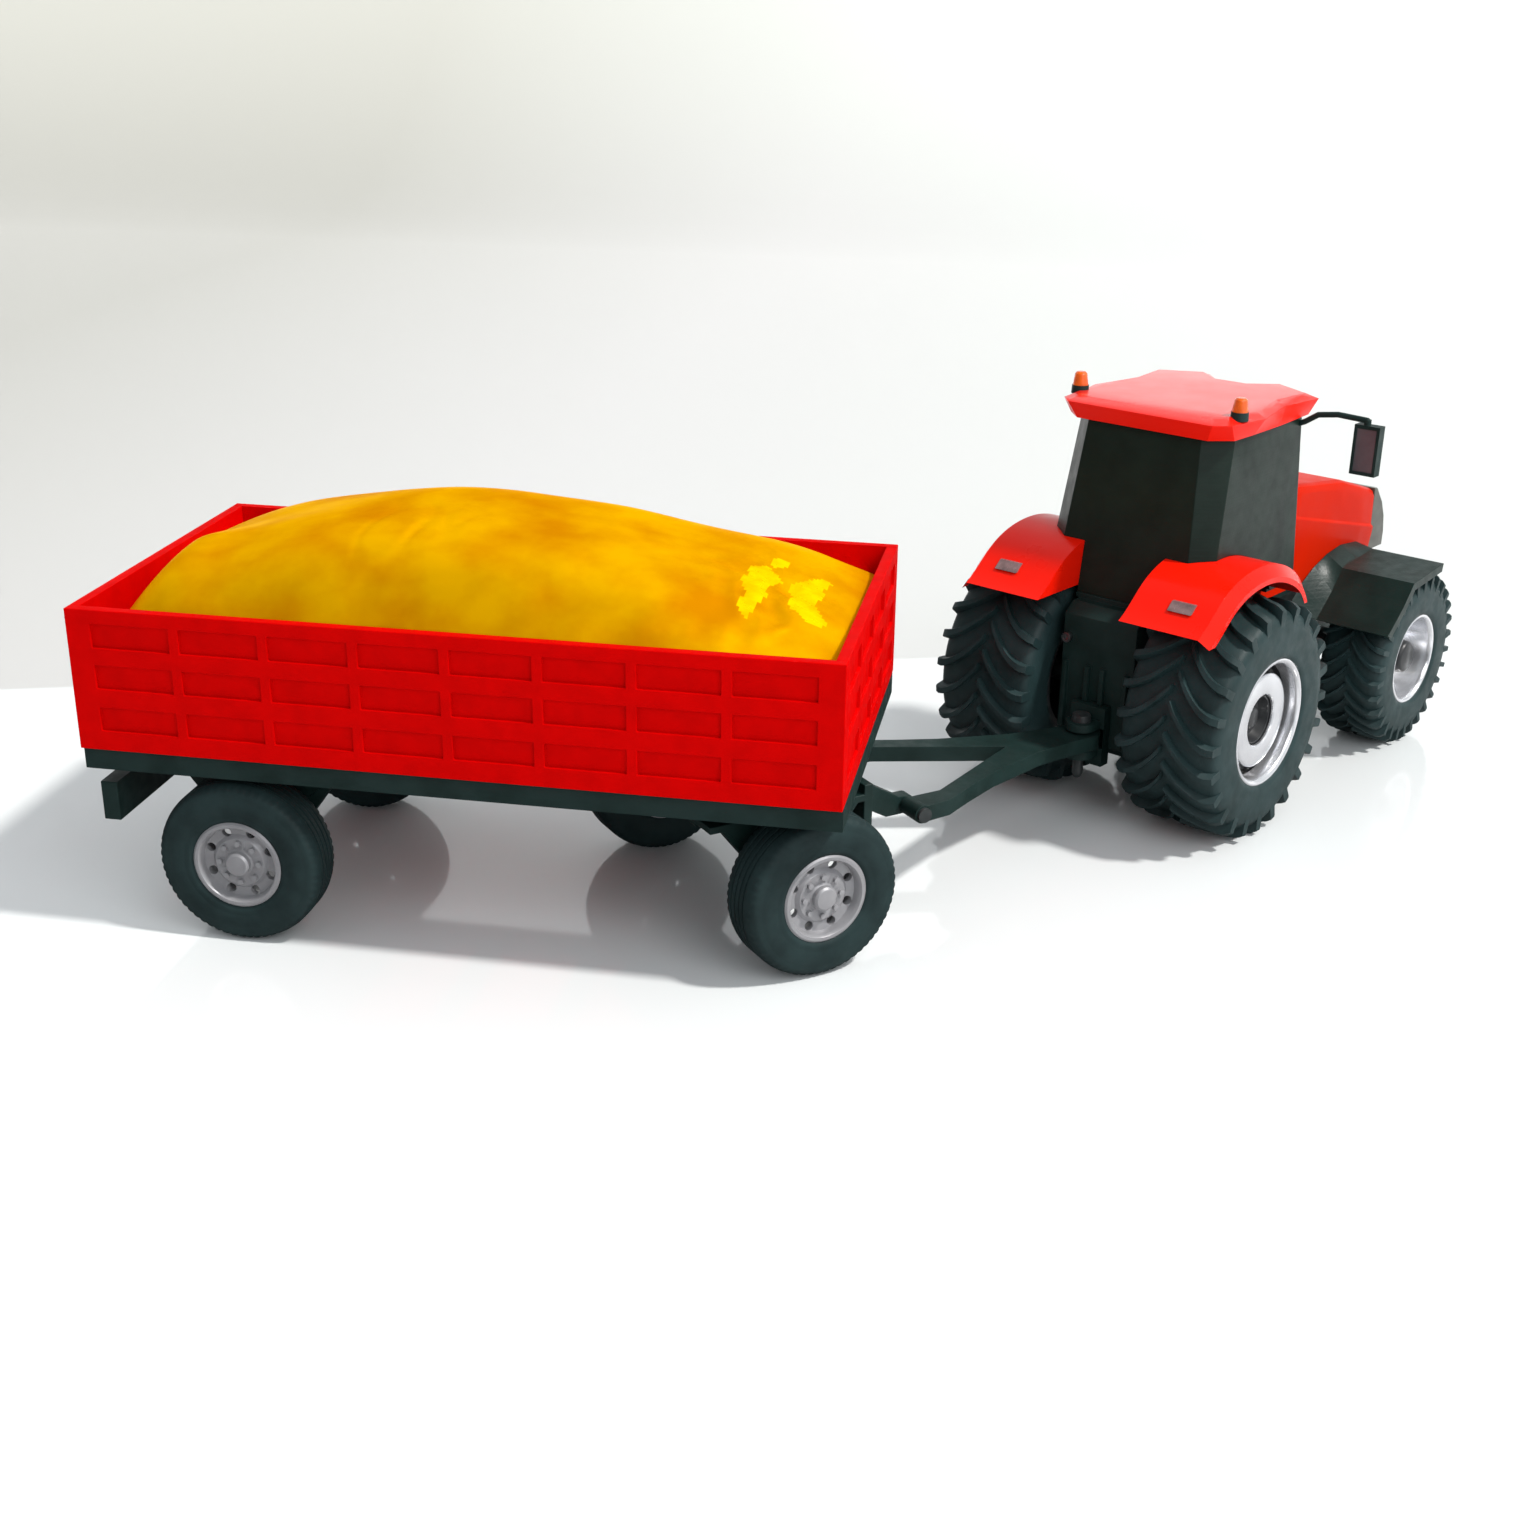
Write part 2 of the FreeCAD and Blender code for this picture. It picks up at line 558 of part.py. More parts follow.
# ---- trailer pieces, in the trailer frame -------------------------------------------------------
def panel_recesses(start, length, columns):
    """Low and high corners of each sunk field along a wall: along the wall and up."""
    width = (length - 2 * PANEL_MARGIN - (columns - 1) * PANEL_RIB) / columns
    fields = []
    for column in range(columns):
        low = start + PANEL_MARGIN + column * (width + PANEL_RIB)
        for row in PANEL_ROWS:
            fields.append((low, low + width, row, row + PANEL_ROW_HEIGHT))
    return fields


def side_panel():
    wall = box(0, BOX_LENGTH, BOX_HALF_WIDTH - WALL, BOX_HALF_WIDTH, BOX_BOTTOM, BOX_TOP)
    sunk = [box(x0, x1, BOX_HALF_WIDTH - PANEL_DEPTH, BOX_HALF_WIDTH + 1, z0, z1)
            for x0, x1, z0, z1 in panel_recesses(0, BOX_LENGTH, PANEL_COLUMNS)]
    return wall.cut(Part.makeCompound(sunk))


def end_panel(x0, outer_x):
    inner = BOX_HALF_WIDTH - WALL
    wall = box(x0, x0 + WALL, -inner, inner, BOX_BOTTOM, BOX_TOP)
    depth = -PANEL_DEPTH if outer_x > x0 else PANEL_DEPTH
    a, b = sorted((outer_x + depth, outer_x - depth))
    sunk = [box(a, b, y0, y1, z0, z1)
            for y0, y1, z0, z1 in panel_recesses(-BOX_HALF_WIDTH, 2 * BOX_HALF_WIDTH, END_COLUMNS)]
    return wall.cut(Part.makeCompound(sunk))


def bed_floor():
    inner = BOX_HALF_WIDTH - WALL
    return box(WALL, BOX_LENGTH - WALL, -inner, inner, BOX_BOTTOM, BOX_BOTTOM + FLOOR)


def chassis_frame():
    """Side rails and cross members under the box; the front cross member carries the turntable."""
    half = CHASSIS_HALF_WIDTH
    rails = box(0, BOX_LENGTH, -half, half, CHASSIS_BOTTOM, BOX_BOTTOM)
    inner = half - 8.0
    bays = [(8.0, 50.0), (70.0, 112.0), (120.0, 162.0), (170.0, 205.0), (281.0, 292.0)]
    for x0, x1 in bays:
        rails = rails.cut(box(x0, x1, -inner, inner, CHASSIS_BOTTOM - 1, BOX_BOTTOM + 1))
    return rails.cut(rod_z(KINGPIN_RADIUS + RUNNING, CHASSIS_BOTTOM - 1, BOX_BOTTOM - 1, KINGPIN_X, 0))


def rear_bumper():
    board = box(1.7, 8.7, -70, 70, 45.0, 61.4)
    straps = [box(1.7, 8.7, y - 4, y + 4, 61.4, CHASSIS_BOTTOM) for y in (-38, 38)]
    return fused(board, straps)


def hanger_pair(x, top, half_top, z_axle):
    """Two tapered plates that hang the axle from the frame above."""
    outline = [(x - half_top, top), (x + half_top, top), (x + 10.5, 31), (x + 8, 26),
               (x - 8, 26), (x - 10.5, 31)]
    plate = prism_y(outline, HANGER_INNER, HANGER_OUTER)
    plate = plate.cut(rod_y(TRAILER_AXLE_RADIUS, HANGER_INNER - 1, HANGER_OUTER + 1, x, z_axle))
    return both_sides(plate)


def turntable_ring(low, high, x):
    bore = rod_z(KINGPIN_RADIUS + RUNNING, low - 1, high + 1, x, 0)
    return rod_z(TURNTABLE_RADIUS, low, high, x, 0).cut(bore)


def heap_height(x, y):
    """Height of the loose load: a long mound that dips below the rim in the corners."""
    along = (x - 150.0) / 145.5
    across = y / 73.8
    ridge = 29.5 - 10.9 * along + 10.9 * along * along
    fall = 1.48 if along < 0 else 1.82
    cover = (1 - abs(across) ** 3.07) * (1 - abs(along) ** fall)
    rim = 134.5 - 2.8 * abs(along) ** 5 - 10.0 * abs(along) ** 4 * abs(across) ** 3
    return rim + ridge * cover


def heap_face(drop, count_x=25, count_y=13):
    rows = []
    for i in range(count_x):
        x = -2 + 304.0 * i / (count_x - 1)
        rows.append([V(x, y, heap_height(min(max(x, 4.6), 295.4), min(max(y, -73.7), 73.7)) - drop)
                     for y in [-76 + 152.0 * j / (count_y - 1) for j in range(count_y)]])
    surface = Part.BSplineSurface()
    surface.interpolate(rows)
    return surface.toShape()


def rounded_block(inset, low, high, radius):
    clear = 0.35
    block = box(WALL + clear + inset, BOX_LENGTH - WALL - clear - inset, -BOX_HALF_WIDTH + WALL + clear + inset,
                BOX_HALF_WIDTH - WALL - clear - inset, low, high)
    upright = [edge for edge in block.Edges if edge.BoundBox.ZMax - edge.BoundBox.ZMin > 1]
    return block.makeFillet(radius, upright)


def heap_load():
    """Moulded heap: a thin open-bottomed shell that rests on the bed floor and lifts out."""
    wall = 2.4
    low = BOX_BOTTOM + FLOOR
    outer = rounded_block(0.0, low, 180, 9.0).common(heap_face(0.0).extrude(V(0, 0, -90)))
    inner = rounded_block(wall, low - 1, 180, 6.6).common(heap_face(wall).extrude(V(0, 0, -90)))
    return outer.cut(inner)


def trailer_pieces():
    side_left, side_right = both_sides(side_panel())
    hangers = hanger_pair(TRAILER_AXLE_X, CHASSIS_BOTTOM, 38.7, TRAILER_WHEEL_RADIUS)
    axle = stepped_axle(TRAILER_WHEEL_MID, TRAILER_AXLE_RADIUS, 1.3, TRAILER_STUB_RADIUS, 5.3, 6.6, 3.9)
    return {
        "bed_floor": bed_floor(), "side_panel_left": side_left, "side_panel_right": side_right,
        "front_panel": end_panel(BOX_LENGTH - WALL, BOX_LENGTH), "tail_panel": end_panel(0, 0),
        "chassis_frame": chassis_frame(), "rear_bumper": rear_bumper(),
        "rear_hangers": Part.makeCompound(list(hangers)),
        "trailer_axle": axle.translated(V(TRAILER_AXLE_X, 0, TRAILER_WHEEL_RADIUS)),
        "turntable_upper": turntable_ring(65.8, CHASSIS_BOTTOM, KINGPIN_X),
        "heap_load": heap_load(),
    }


# ---- bogie and drawbar pieces, in the bogie frame -----------------------------------------------
def bogie_frame():
    """Deck and front board under the turntable, arms down to the drawbar hinge, plates that carry the axle."""
    low = HINGE_Z - HINGE_EYE_RADIUS
    high = HINGE_Z + HINGE_EYE_RADIUS
    deck = box(-36, 37.5, -HANGER_OUTER, HANGER_OUTER, 57, 60)
    board = box(33.5, 37.5, -HANGER_OUTER, HANGER_OUTER, 44, 64)
    beam = prism_y([(-30, 50), (-30, 57.5), (42, 57.5), (66, high), (DRAWBAR_HINGE_X, high),
                    (DRAWBAR_HINGE_X, low), (60, low), (38, 48)], 20.5, 26.5)
    eye = rod_y(HINGE_EYE_RADIUS, 20.5, 26.5, DRAWBAR_HINGE_X, HINGE_Z)
    limb = beam.fuse(eye).cut(rod_y(HINGE_PIN_RADIUS + RUNNING, 15, 30, DRAWBAR_HINGE_X, HINGE_Z))
    hangers = hanger_pair(0, 57.5, 31.0, TRAILER_WHEEL_RADIUS)
    return fused(deck, [board] + list(both_sides(limb)) + list(hangers)).cut(rod_z(KINGPIN_RADIUS, 50, 61))


def kingpin():
    shank = rod_z(KINGPIN_RADIUS, 57, 77.4)
    head = rod_z(7.0, 53.5, 57)
    return fused(shank, [head])


def drawbar():
    half = [(70.0, 39.0), (84.0, 38.0), (100.0, 30.0), (118.0, 22.0), (150.0, 12.0), (172.0, 9.2),
            (HITCH_FROM_KINGPIN, 9.0)]
    plate = prism_z([(x, y) for x, y in half] + [(x, -y) for x, y in reversed(half)], DRAWBAR_LOW, DRAWBAR_HIGH)
    eye = rod_z(9.0, DRAWBAR_LOW, DRAWBAR_HIGH, HITCH_FROM_KINGPIN, 0)
    gap = prism_z([(60, 27.2), (86, 27.2), (140, 0), (86, -27.2), (60, -27.2)],
                  DRAWBAR_LOW - 1, DRAWBAR_HIGH + 1)
    knuckle = rod_y(HINGE_EYE_RADIUS, 27.2, 39.0, DRAWBAR_HINGE_X, HINGE_Z)
    frame = fused(plate, [eye]).cut(gap)
    frame = fused(frame, list(both_sides(knuckle)))
    frame = frame.cut(rod_y(HINGE_PIN_RADIUS, -50, 50, DRAWBAR_HINGE_X, HINGE_Z))
    return frame.cut(rod_z(HITCH_PIN_RADIUS + RUNNING, 20, 60, HITCH_FROM_KINGPIN, 0))


def drawbar_pins():
    shank = rod_y(HINGE_PIN_RADIUS, 19.4, 39.0, DRAWBAR_HINGE_X, HINGE_Z)
    head = rod_y(3.2, 39.0, 40.6, DRAWBAR_HINGE_X, HINGE_Z)
    return Part.makeCompound(list(both_sides(fused(shank, [head]))))


def bogie_pieces():
    axle = stepped_axle(TRAILER_WHEEL_MID, TRAILER_AXLE_RADIUS, 1.3, TRAILER_STUB_RADIUS, 5.3, 6.6, 3.9)
    return {
        "bogie_frame": bogie_frame(), "turntable_lower": turntable_ring(60, 65.5, 0), "kingpin": kingpin(),
        "bogie_axle": axle.translated(V(0, 0, TRAILER_WHEEL_RADIUS)),
        "drawbar": drawbar(), "drawbar_pins": drawbar_pins(),
    }


def trailer_wheels(prefix, x):
    pieces = {}
    for name, solid in (("tyre", trailer_tyre()), ("rim", trailer_rim())):
        left, right = both_sides(solid.translated(V(x, TRAILER_WHEEL_MID, TRAILER_WHEEL_RADIUS)))
        pieces[f"{prefix}_left_{name}"] = left
        pieces[f"{prefix}_right_{name}"] = right
    return pieces


# ---- assembly -----------------------------------------------------------------------------------
def bearing(degrees, length):
    return V(length * math.cos(math.radians(degrees)), length * math.sin(math.radians(degrees)), 0)


def frame_placements():
    """Where the bogie and tractor frames stand in the trailer frame."""
    king = V(KINGPIN_X, 0, 0)
    hitch = king.add(bearing(BOGIE_HEADING, HITCH_FROM_KINGPIN))
    axle = hitch.add(bearing(TRACTOR_HEADING, HITCH_BEHIND_AXLE))
    bogie = FreeCAD.Placement(king, FreeCAD.Rotation(UP, BOGIE_HEADING))
    tractor = FreeCAD.Placement(axle, FreeCAD.Rotation(UP, TRACTOR_HEADING))
    return bogie, tractor


def placed(pieces, placement):
    return {name: shape.transformed(placement.toMatrix(), True) for name, shape in pieces.items()}


def whole_toy():
    bogie, tractor = frame_placements()
    toy = {}
    toy.update(placed(tractor_pieces(), tractor))
    toy.update(placed(tractor_wheels(), tractor))
    toy.update(placed(bogie_pieces(), bogie))
    toy.update(placed(trailer_wheels("bogie", 0.0), bogie))
    toy.update(trailer_pieces())
    toy.update(trailer_wheels("trailer", TRAILER_AXLE_X))
    return toy


def middle_of(toy):
    lows = [V(1e9, 1e9, 1e9)]
    highs = [V(-1e9, -1e9, -1e9)]
    for shape in toy.values():
        bounds = shape.optimalBoundingBox(False, False)
        lows.append(V(bounds.XMin, bounds.YMin, bounds.ZMin))
        highs.append(V(bounds.XMax, bounds.YMax, bounds.ZMax))
    low = V(min(p.x for p in lows), min(p.y for p in lows), min(p.z for p in lows))
    high = V(max(p.x for p in highs), max(p.y for p in highs), max(p.z for p in highs))
    print("size", round(high.x - low.x, 2), round(high.y - low.y, 2), round(high.z - low.z, 2))
    return V((low.x + high.x) / 2, (low.y + high.y) / 2, low.z)


def main():
    os.makedirs("parts", exist_ok=True)
    toy = whole_toy()
    middle = middle_of(toy)
    print("row origin in the trailer frame", round(middle.x, 4), round(middle.y, 4), round(middle.z, 4))
    for name, shape in toy.items():
        shape.translated(V(-middle.x, -middle.y, -middle.z)).exportStep(f"parts/{name}.step")
    print("nodes", len(toy))


main()
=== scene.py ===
"""Looks for a toy tractor that pulls a four-wheel farm trailer with a golden heap.

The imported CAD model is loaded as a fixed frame. Every sub-assembly is a class that either dresses the
CAD nodes with a procedural finish or builds a finer mesh that stands for them. All lengths are metres.
"""

import json
import logging
import math
from dataclasses import dataclass, field
from enum import Enum

import bmesh
import bpy
from mathutils import Matrix, Vector, noise

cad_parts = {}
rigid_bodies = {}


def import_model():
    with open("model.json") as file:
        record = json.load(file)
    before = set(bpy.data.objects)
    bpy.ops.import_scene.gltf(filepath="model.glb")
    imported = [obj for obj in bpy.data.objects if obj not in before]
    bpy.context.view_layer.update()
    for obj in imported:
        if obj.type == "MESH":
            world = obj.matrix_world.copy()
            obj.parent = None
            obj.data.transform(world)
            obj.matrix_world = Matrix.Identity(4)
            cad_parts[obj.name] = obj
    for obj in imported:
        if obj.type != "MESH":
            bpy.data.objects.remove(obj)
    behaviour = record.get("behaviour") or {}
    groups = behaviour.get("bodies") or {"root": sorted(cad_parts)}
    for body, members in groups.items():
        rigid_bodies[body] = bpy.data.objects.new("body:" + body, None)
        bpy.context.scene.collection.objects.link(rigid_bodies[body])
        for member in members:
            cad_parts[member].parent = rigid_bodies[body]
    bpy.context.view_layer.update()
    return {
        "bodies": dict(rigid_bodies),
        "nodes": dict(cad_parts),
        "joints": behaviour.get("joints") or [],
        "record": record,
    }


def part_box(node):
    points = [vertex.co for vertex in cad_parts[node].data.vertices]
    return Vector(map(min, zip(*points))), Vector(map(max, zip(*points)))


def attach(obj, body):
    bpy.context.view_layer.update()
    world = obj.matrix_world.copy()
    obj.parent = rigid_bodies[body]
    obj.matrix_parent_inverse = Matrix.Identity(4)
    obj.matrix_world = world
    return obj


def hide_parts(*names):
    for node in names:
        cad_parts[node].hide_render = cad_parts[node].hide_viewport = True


LOG = logging.getLogger("toy_tractor")
MM = 0.001
BLACK = (0.0, 0.0, 0.0)
DULL = (0.12, 0.12, 0.12)
TABLE = (0.86, 0.865, 0.87)
TABLE_SEEN = (0.75, 0.78, 0.79)
# painted shade on the wall behind the table: greyer low down and to the left, paler high up and to the right
WALL_LOW = ((0.40, 0.40, 0.375), (0.54, 0.54, 0.54), (0.61, 0.64, 0.63))
WALL_HIGH = ((0.64, 0.64, 0.59), (0.76, 0.78, 0.75), (0.90, 0.94, 0.92))
TOP_COAT_IOR = 1.75
STREAK_SCALE = (0.03, 0.03, 1.0)


class Side(Enum):
    """The two sides of the vehicle; the value is the sign of the outward direction along its left."""

    LEFT = 1
    RIGHT = -1

    @property
    def word(self) -> str:
        """Lower-case name used inside node and body names.

        Returns:
            "left" or "right".
        """
        return self.name.lower()


# ---- finishes -----------------------------------------------------------------------------------
class NodeGraph:
    """Small helper that adds and links shader nodes in one tree."""

    def __init__(self, tree: bpy.types.NodeTree) -> None:
        """Works on a node tree.

        Args:
            tree: The tree of a material or a world.
        """
        self.tree = tree

    @classmethod
    def of_material(cls, material: bpy.types.Material) -> "NodeGraph":
        """Empties a material's node tree.

        Args:
            material: The material.

        Returns:
            A helper for its tree.
        """
        material.use_nodes = True
        material.node_tree.nodes.clear()
        return cls(material.node_tree)

    def add(self, kind: str, **settings: object) -> bpy.types.Node:
        """Adds a node and sets its plain properties.

        Args:
            kind: Blender's node type name.
            **settings: Property names and values.

        Returns:
            The new node.
        """
        node = self.tree.nodes.new(kind)
        for key, value in settings.items():
            setattr(node, key, value)
        return node

    def link(self, source: bpy.types.NodeSocket, target: bpy.types.NodeSocket) -> None:
        """Joins an output socket to an input socket.

        Args:
            source: Output socket.
            target: Input socket.
        """
        self.tree.links.new(source, target)

    def feed(self, target: bpy.types.NodeSocket, value: object) -> None:
        """Links a socket, or sets it when the value is a plain number or colour.

        Args:
            target: Input socket.
            value: Output socket, number or colour.
        """
        if isinstance(value, bpy.types.NodeSocket):
            self.link(value, target)
        else:
            target.default_value = value

    def split(self, kind: str, output: str) -> bpy.types.Node:
        """Splits a vector from a source node into its axes.

        Args:
            kind: Type of the source node.
            output: Name of its vector output.

        Returns:
            The node with the outputs X, Y and Z.
        """
        node = self.add("ShaderNodeSeparateXYZ")
        self.link(self.add(kind).outputs[output], node.inputs["Vector"])
        return node

    def span(self, value: bpy.types.NodeSocket, start: float, end: float,
             low: float = 0.0, high: float = 1.0) -> bpy.types.NodeSocket:
        """Maps a range of values onto another, without going past its ends.

        Args:
            value: Grey input.
            start: Input that gives low.
            end: Input that gives high.
            low: Result at the start.
            high: Result at the end.

        Returns:
            The mapped socket.
        """
        node = self.add("ShaderNodeMapRange")
        node.inputs["From Min"].default_value = start
        node.inputs["From Max"].default_value = end
        node.inputs["To Min"].default_value = low
        node.inputs["To Max"].default_value = high
        self.link(value, node.inputs["Value"])
        return node.outputs["Result"]

    def math(self, operation: str, *values: object) -> bpy.types.NodeSocket:
        """Adds a math node.

        Args:
            operation: Blender's name of the operation.
            *values: Sockets or numbers, in order.

        Returns:
            The result socket.
        """
        node = self.add("ShaderNodeMath", operation=operation)
        for slot, value in enumerate(values):
            self.feed(node.inputs[slot], value)
        return node.outputs["Value"]

    def blend(self, factor: object, first: object, second: object, kind: str = "MIX") -> bpy.types.NodeSocket:
        """Mixes two colours.

        Args:
            factor: Share of the second colour.
            first: Socket or colour.
            second: Socket or colour.
            kind: Blender's name of the mixing mode.

        Returns:
            The mixed colour socket.
        """
        node = self.add("ShaderNodeMix", data_type="RGBA", blend_type=kind)
        self.feed(node.inputs["Factor"], factor)
        self.feed(node.inputs["A"], first)
        self.feed(node.inputs["B"], second)
        return node.outputs["Result"]

    def noise(self, vector: bpy.types.NodeSocket, scale: float, detail: float) -> bpy.types.NodeSocket:
        """Adds a noise texture.

        Args:
            vector: Coordinates.
            scale: Texture scale, in cells per metre.
            detail: Number of octaves.

        Returns:
            The grey output socket.
        """
        node = self.add("ShaderNodeTexNoise")
        node.inputs["Scale"].default_value = scale
        node.inputs["Detail"].default_value = detail
        self.link(vector, node.inputs["Vector"])
        return node.outputs["Fac"]

    def stretched(self, vector: bpy.types.NodeSocket, scale: tuple) -> bpy.types.NodeSocket:
        """Scales coordinates unevenly.

        Args:
            vector: Coordinates.
            scale: Factor along each axis.

        Returns:
            The scaled coordinates.
        """
        node = self.add("ShaderNodeMapping")
        node.inputs["Scale"].default_value = scale
        self.link(vector, node.inputs["Vector"])
        return node.outputs["Vector"]

    def ramp(self, factor: bpy.types.NodeSocket, *stops: tuple) -> bpy.types.NodeSocket:
        """Adds a colour ramp.

        Args:
            factor: Grey input.
            *stops: Pairs of position and colour, where the colour has three parts.

        Returns:
            The colour socket.
        """
        node = self.add("ShaderNodeValToRGB")
        first, last = node.color_ramp.elements
        for element, (position, colour) in ((first, stops[0]), (last, stops[-1])):
            element.position = position
            element.color = (*colour, 1)
        for position, colour in stops[1:-1]:
            node.color_ramp.elements.new(position).color = (*colour, 1)
        self.link(factor, node.inputs["Fac"])
        return node.outputs["Color"]


@dataclass(frozen=True)
class Finish:
    """One procedural surface finish.

    Attributes:
        name: Material name.
        colour: Main linear colour.
        shade: Linear colour of the darker mottling.
        roughness: Lowest and highest roughness of the mottling.
        specular: Specular level of the shader.
        metallic: Share of metal.
        coat: Weight of the clear coat.
        coat_roughness: Roughness of the clear coat.
        patch: Size of the mottled patches.
        layer: Height of one printed layer line, or 0 for none.
        layer_depth: Depth of the layer lines.
        grain: Size of the fine surface grain.
        grain_depth: Depth of the fine grain.
        gleam: Tint of the highlights.
        top_coat_only: Whether only the faces that look up have the clear coat.
    """

    name: str
    colour: tuple
    shade: tuple
    roughness: tuple = (0.35, 0.5)
    specular: float = 0.4
    metallic: float = 0.0
    coat: float = 0.0
    coat_roughness: float = 0.15
    patch: float = 14 * MM
    layer: float = 0.0
    layer_depth: float = 0.0
    grain: float = 0.9 * MM
    grain_depth: float = 0.02 * MM
    gleam: tuple = (1.0, 1.0, 1.0)
    top_coat_only: bool = False

    def build(self) -> bpy.types.Material:
        """Makes the material.

        Returns:
            The new material.
        """
        material = bpy.data.materials.new(self.name)
        graph = NodeGraph.of_material(material)
        place = graph.add("ShaderNodeTexCoord").outputs["Object"]
        shader = graph.add("ShaderNodeBsdfPrincipled")
        output = graph.add("ShaderNodeOutputMaterial")
        graph.link(shader.outputs["BSDF"], output.inputs["Surface"])
        shader.inputs["Metallic"].default_value = self.metallic
        shader.inputs["Specular IOR Level"].default_value = self.specular
        shader.inputs["Specular Tint"].default_value = (*self.gleam, 1)
        shader.inputs["Coat Weight"].default_value = self.coat
        shader.inputs["Coat Roughness"].default_value = self.coat_roughness
        if self.top_coat_only:
            normal = graph.split("ShaderNodeNewGeometry", "Normal")
            upward = graph.ramp(normal.outputs["Z"], (0.80, BLACK), (0.94, (self.coat,) * 3))
            graph.link(upward, shader.inputs["Coat Weight"])
            shader.inputs["Coat IOR"].default_value = TOP_COAT_IOR
        mottle = graph.noise(place, 1 / self.patch, 4.0)
        graph.link(graph.ramp(mottle, (0.32, self.shade), (0.62, self.colour)), shader.inputs["Base Color"])
        low, high = self.roughness
        gloss = graph.noise(place, 2.3 / self.patch, 3.0)
        graph.link(graph.ramp(gloss, (0.3, (low,) * 3), (0.7, (high,) * 3)), shader.inputs["Roughness"])
        graph.link(self._relief(graph, place), shader.inputs["Normal"])
        return material

    def _relief(self, graph: NodeGraph, place: bpy.types.NodeSocket) -> bpy.types.NodeSocket:
        """Makes the fine grain and the layer lines as bump.

        Args:
            graph: The material's node tree.
            place: Coordinates.

        Returns:
            The bumped normal.
        """
        grain = graph.add("ShaderNodeBump")
        grain.inputs["Distance"].default_value = self.grain_depth
        graph.link(graph.noise(place, 1 / self.grain, 2.0), grain.inputs["Height"])
        if not self.layer:
            return grain.outputs["Normal"]
        lines = graph.add("ShaderNodeBump")
        lines.inputs["Distance"].default_value = self.layer_depth
        streaks = graph.noise(graph.stretched(place, STREAK_SCALE), 1 / self.layer, 2.0)
        graph.link(streaks, lines.inputs["Height"])
        graph.link(grain.outputs["Normal"], lines.inputs["Normal"])
        return lines.outputs["Normal"]


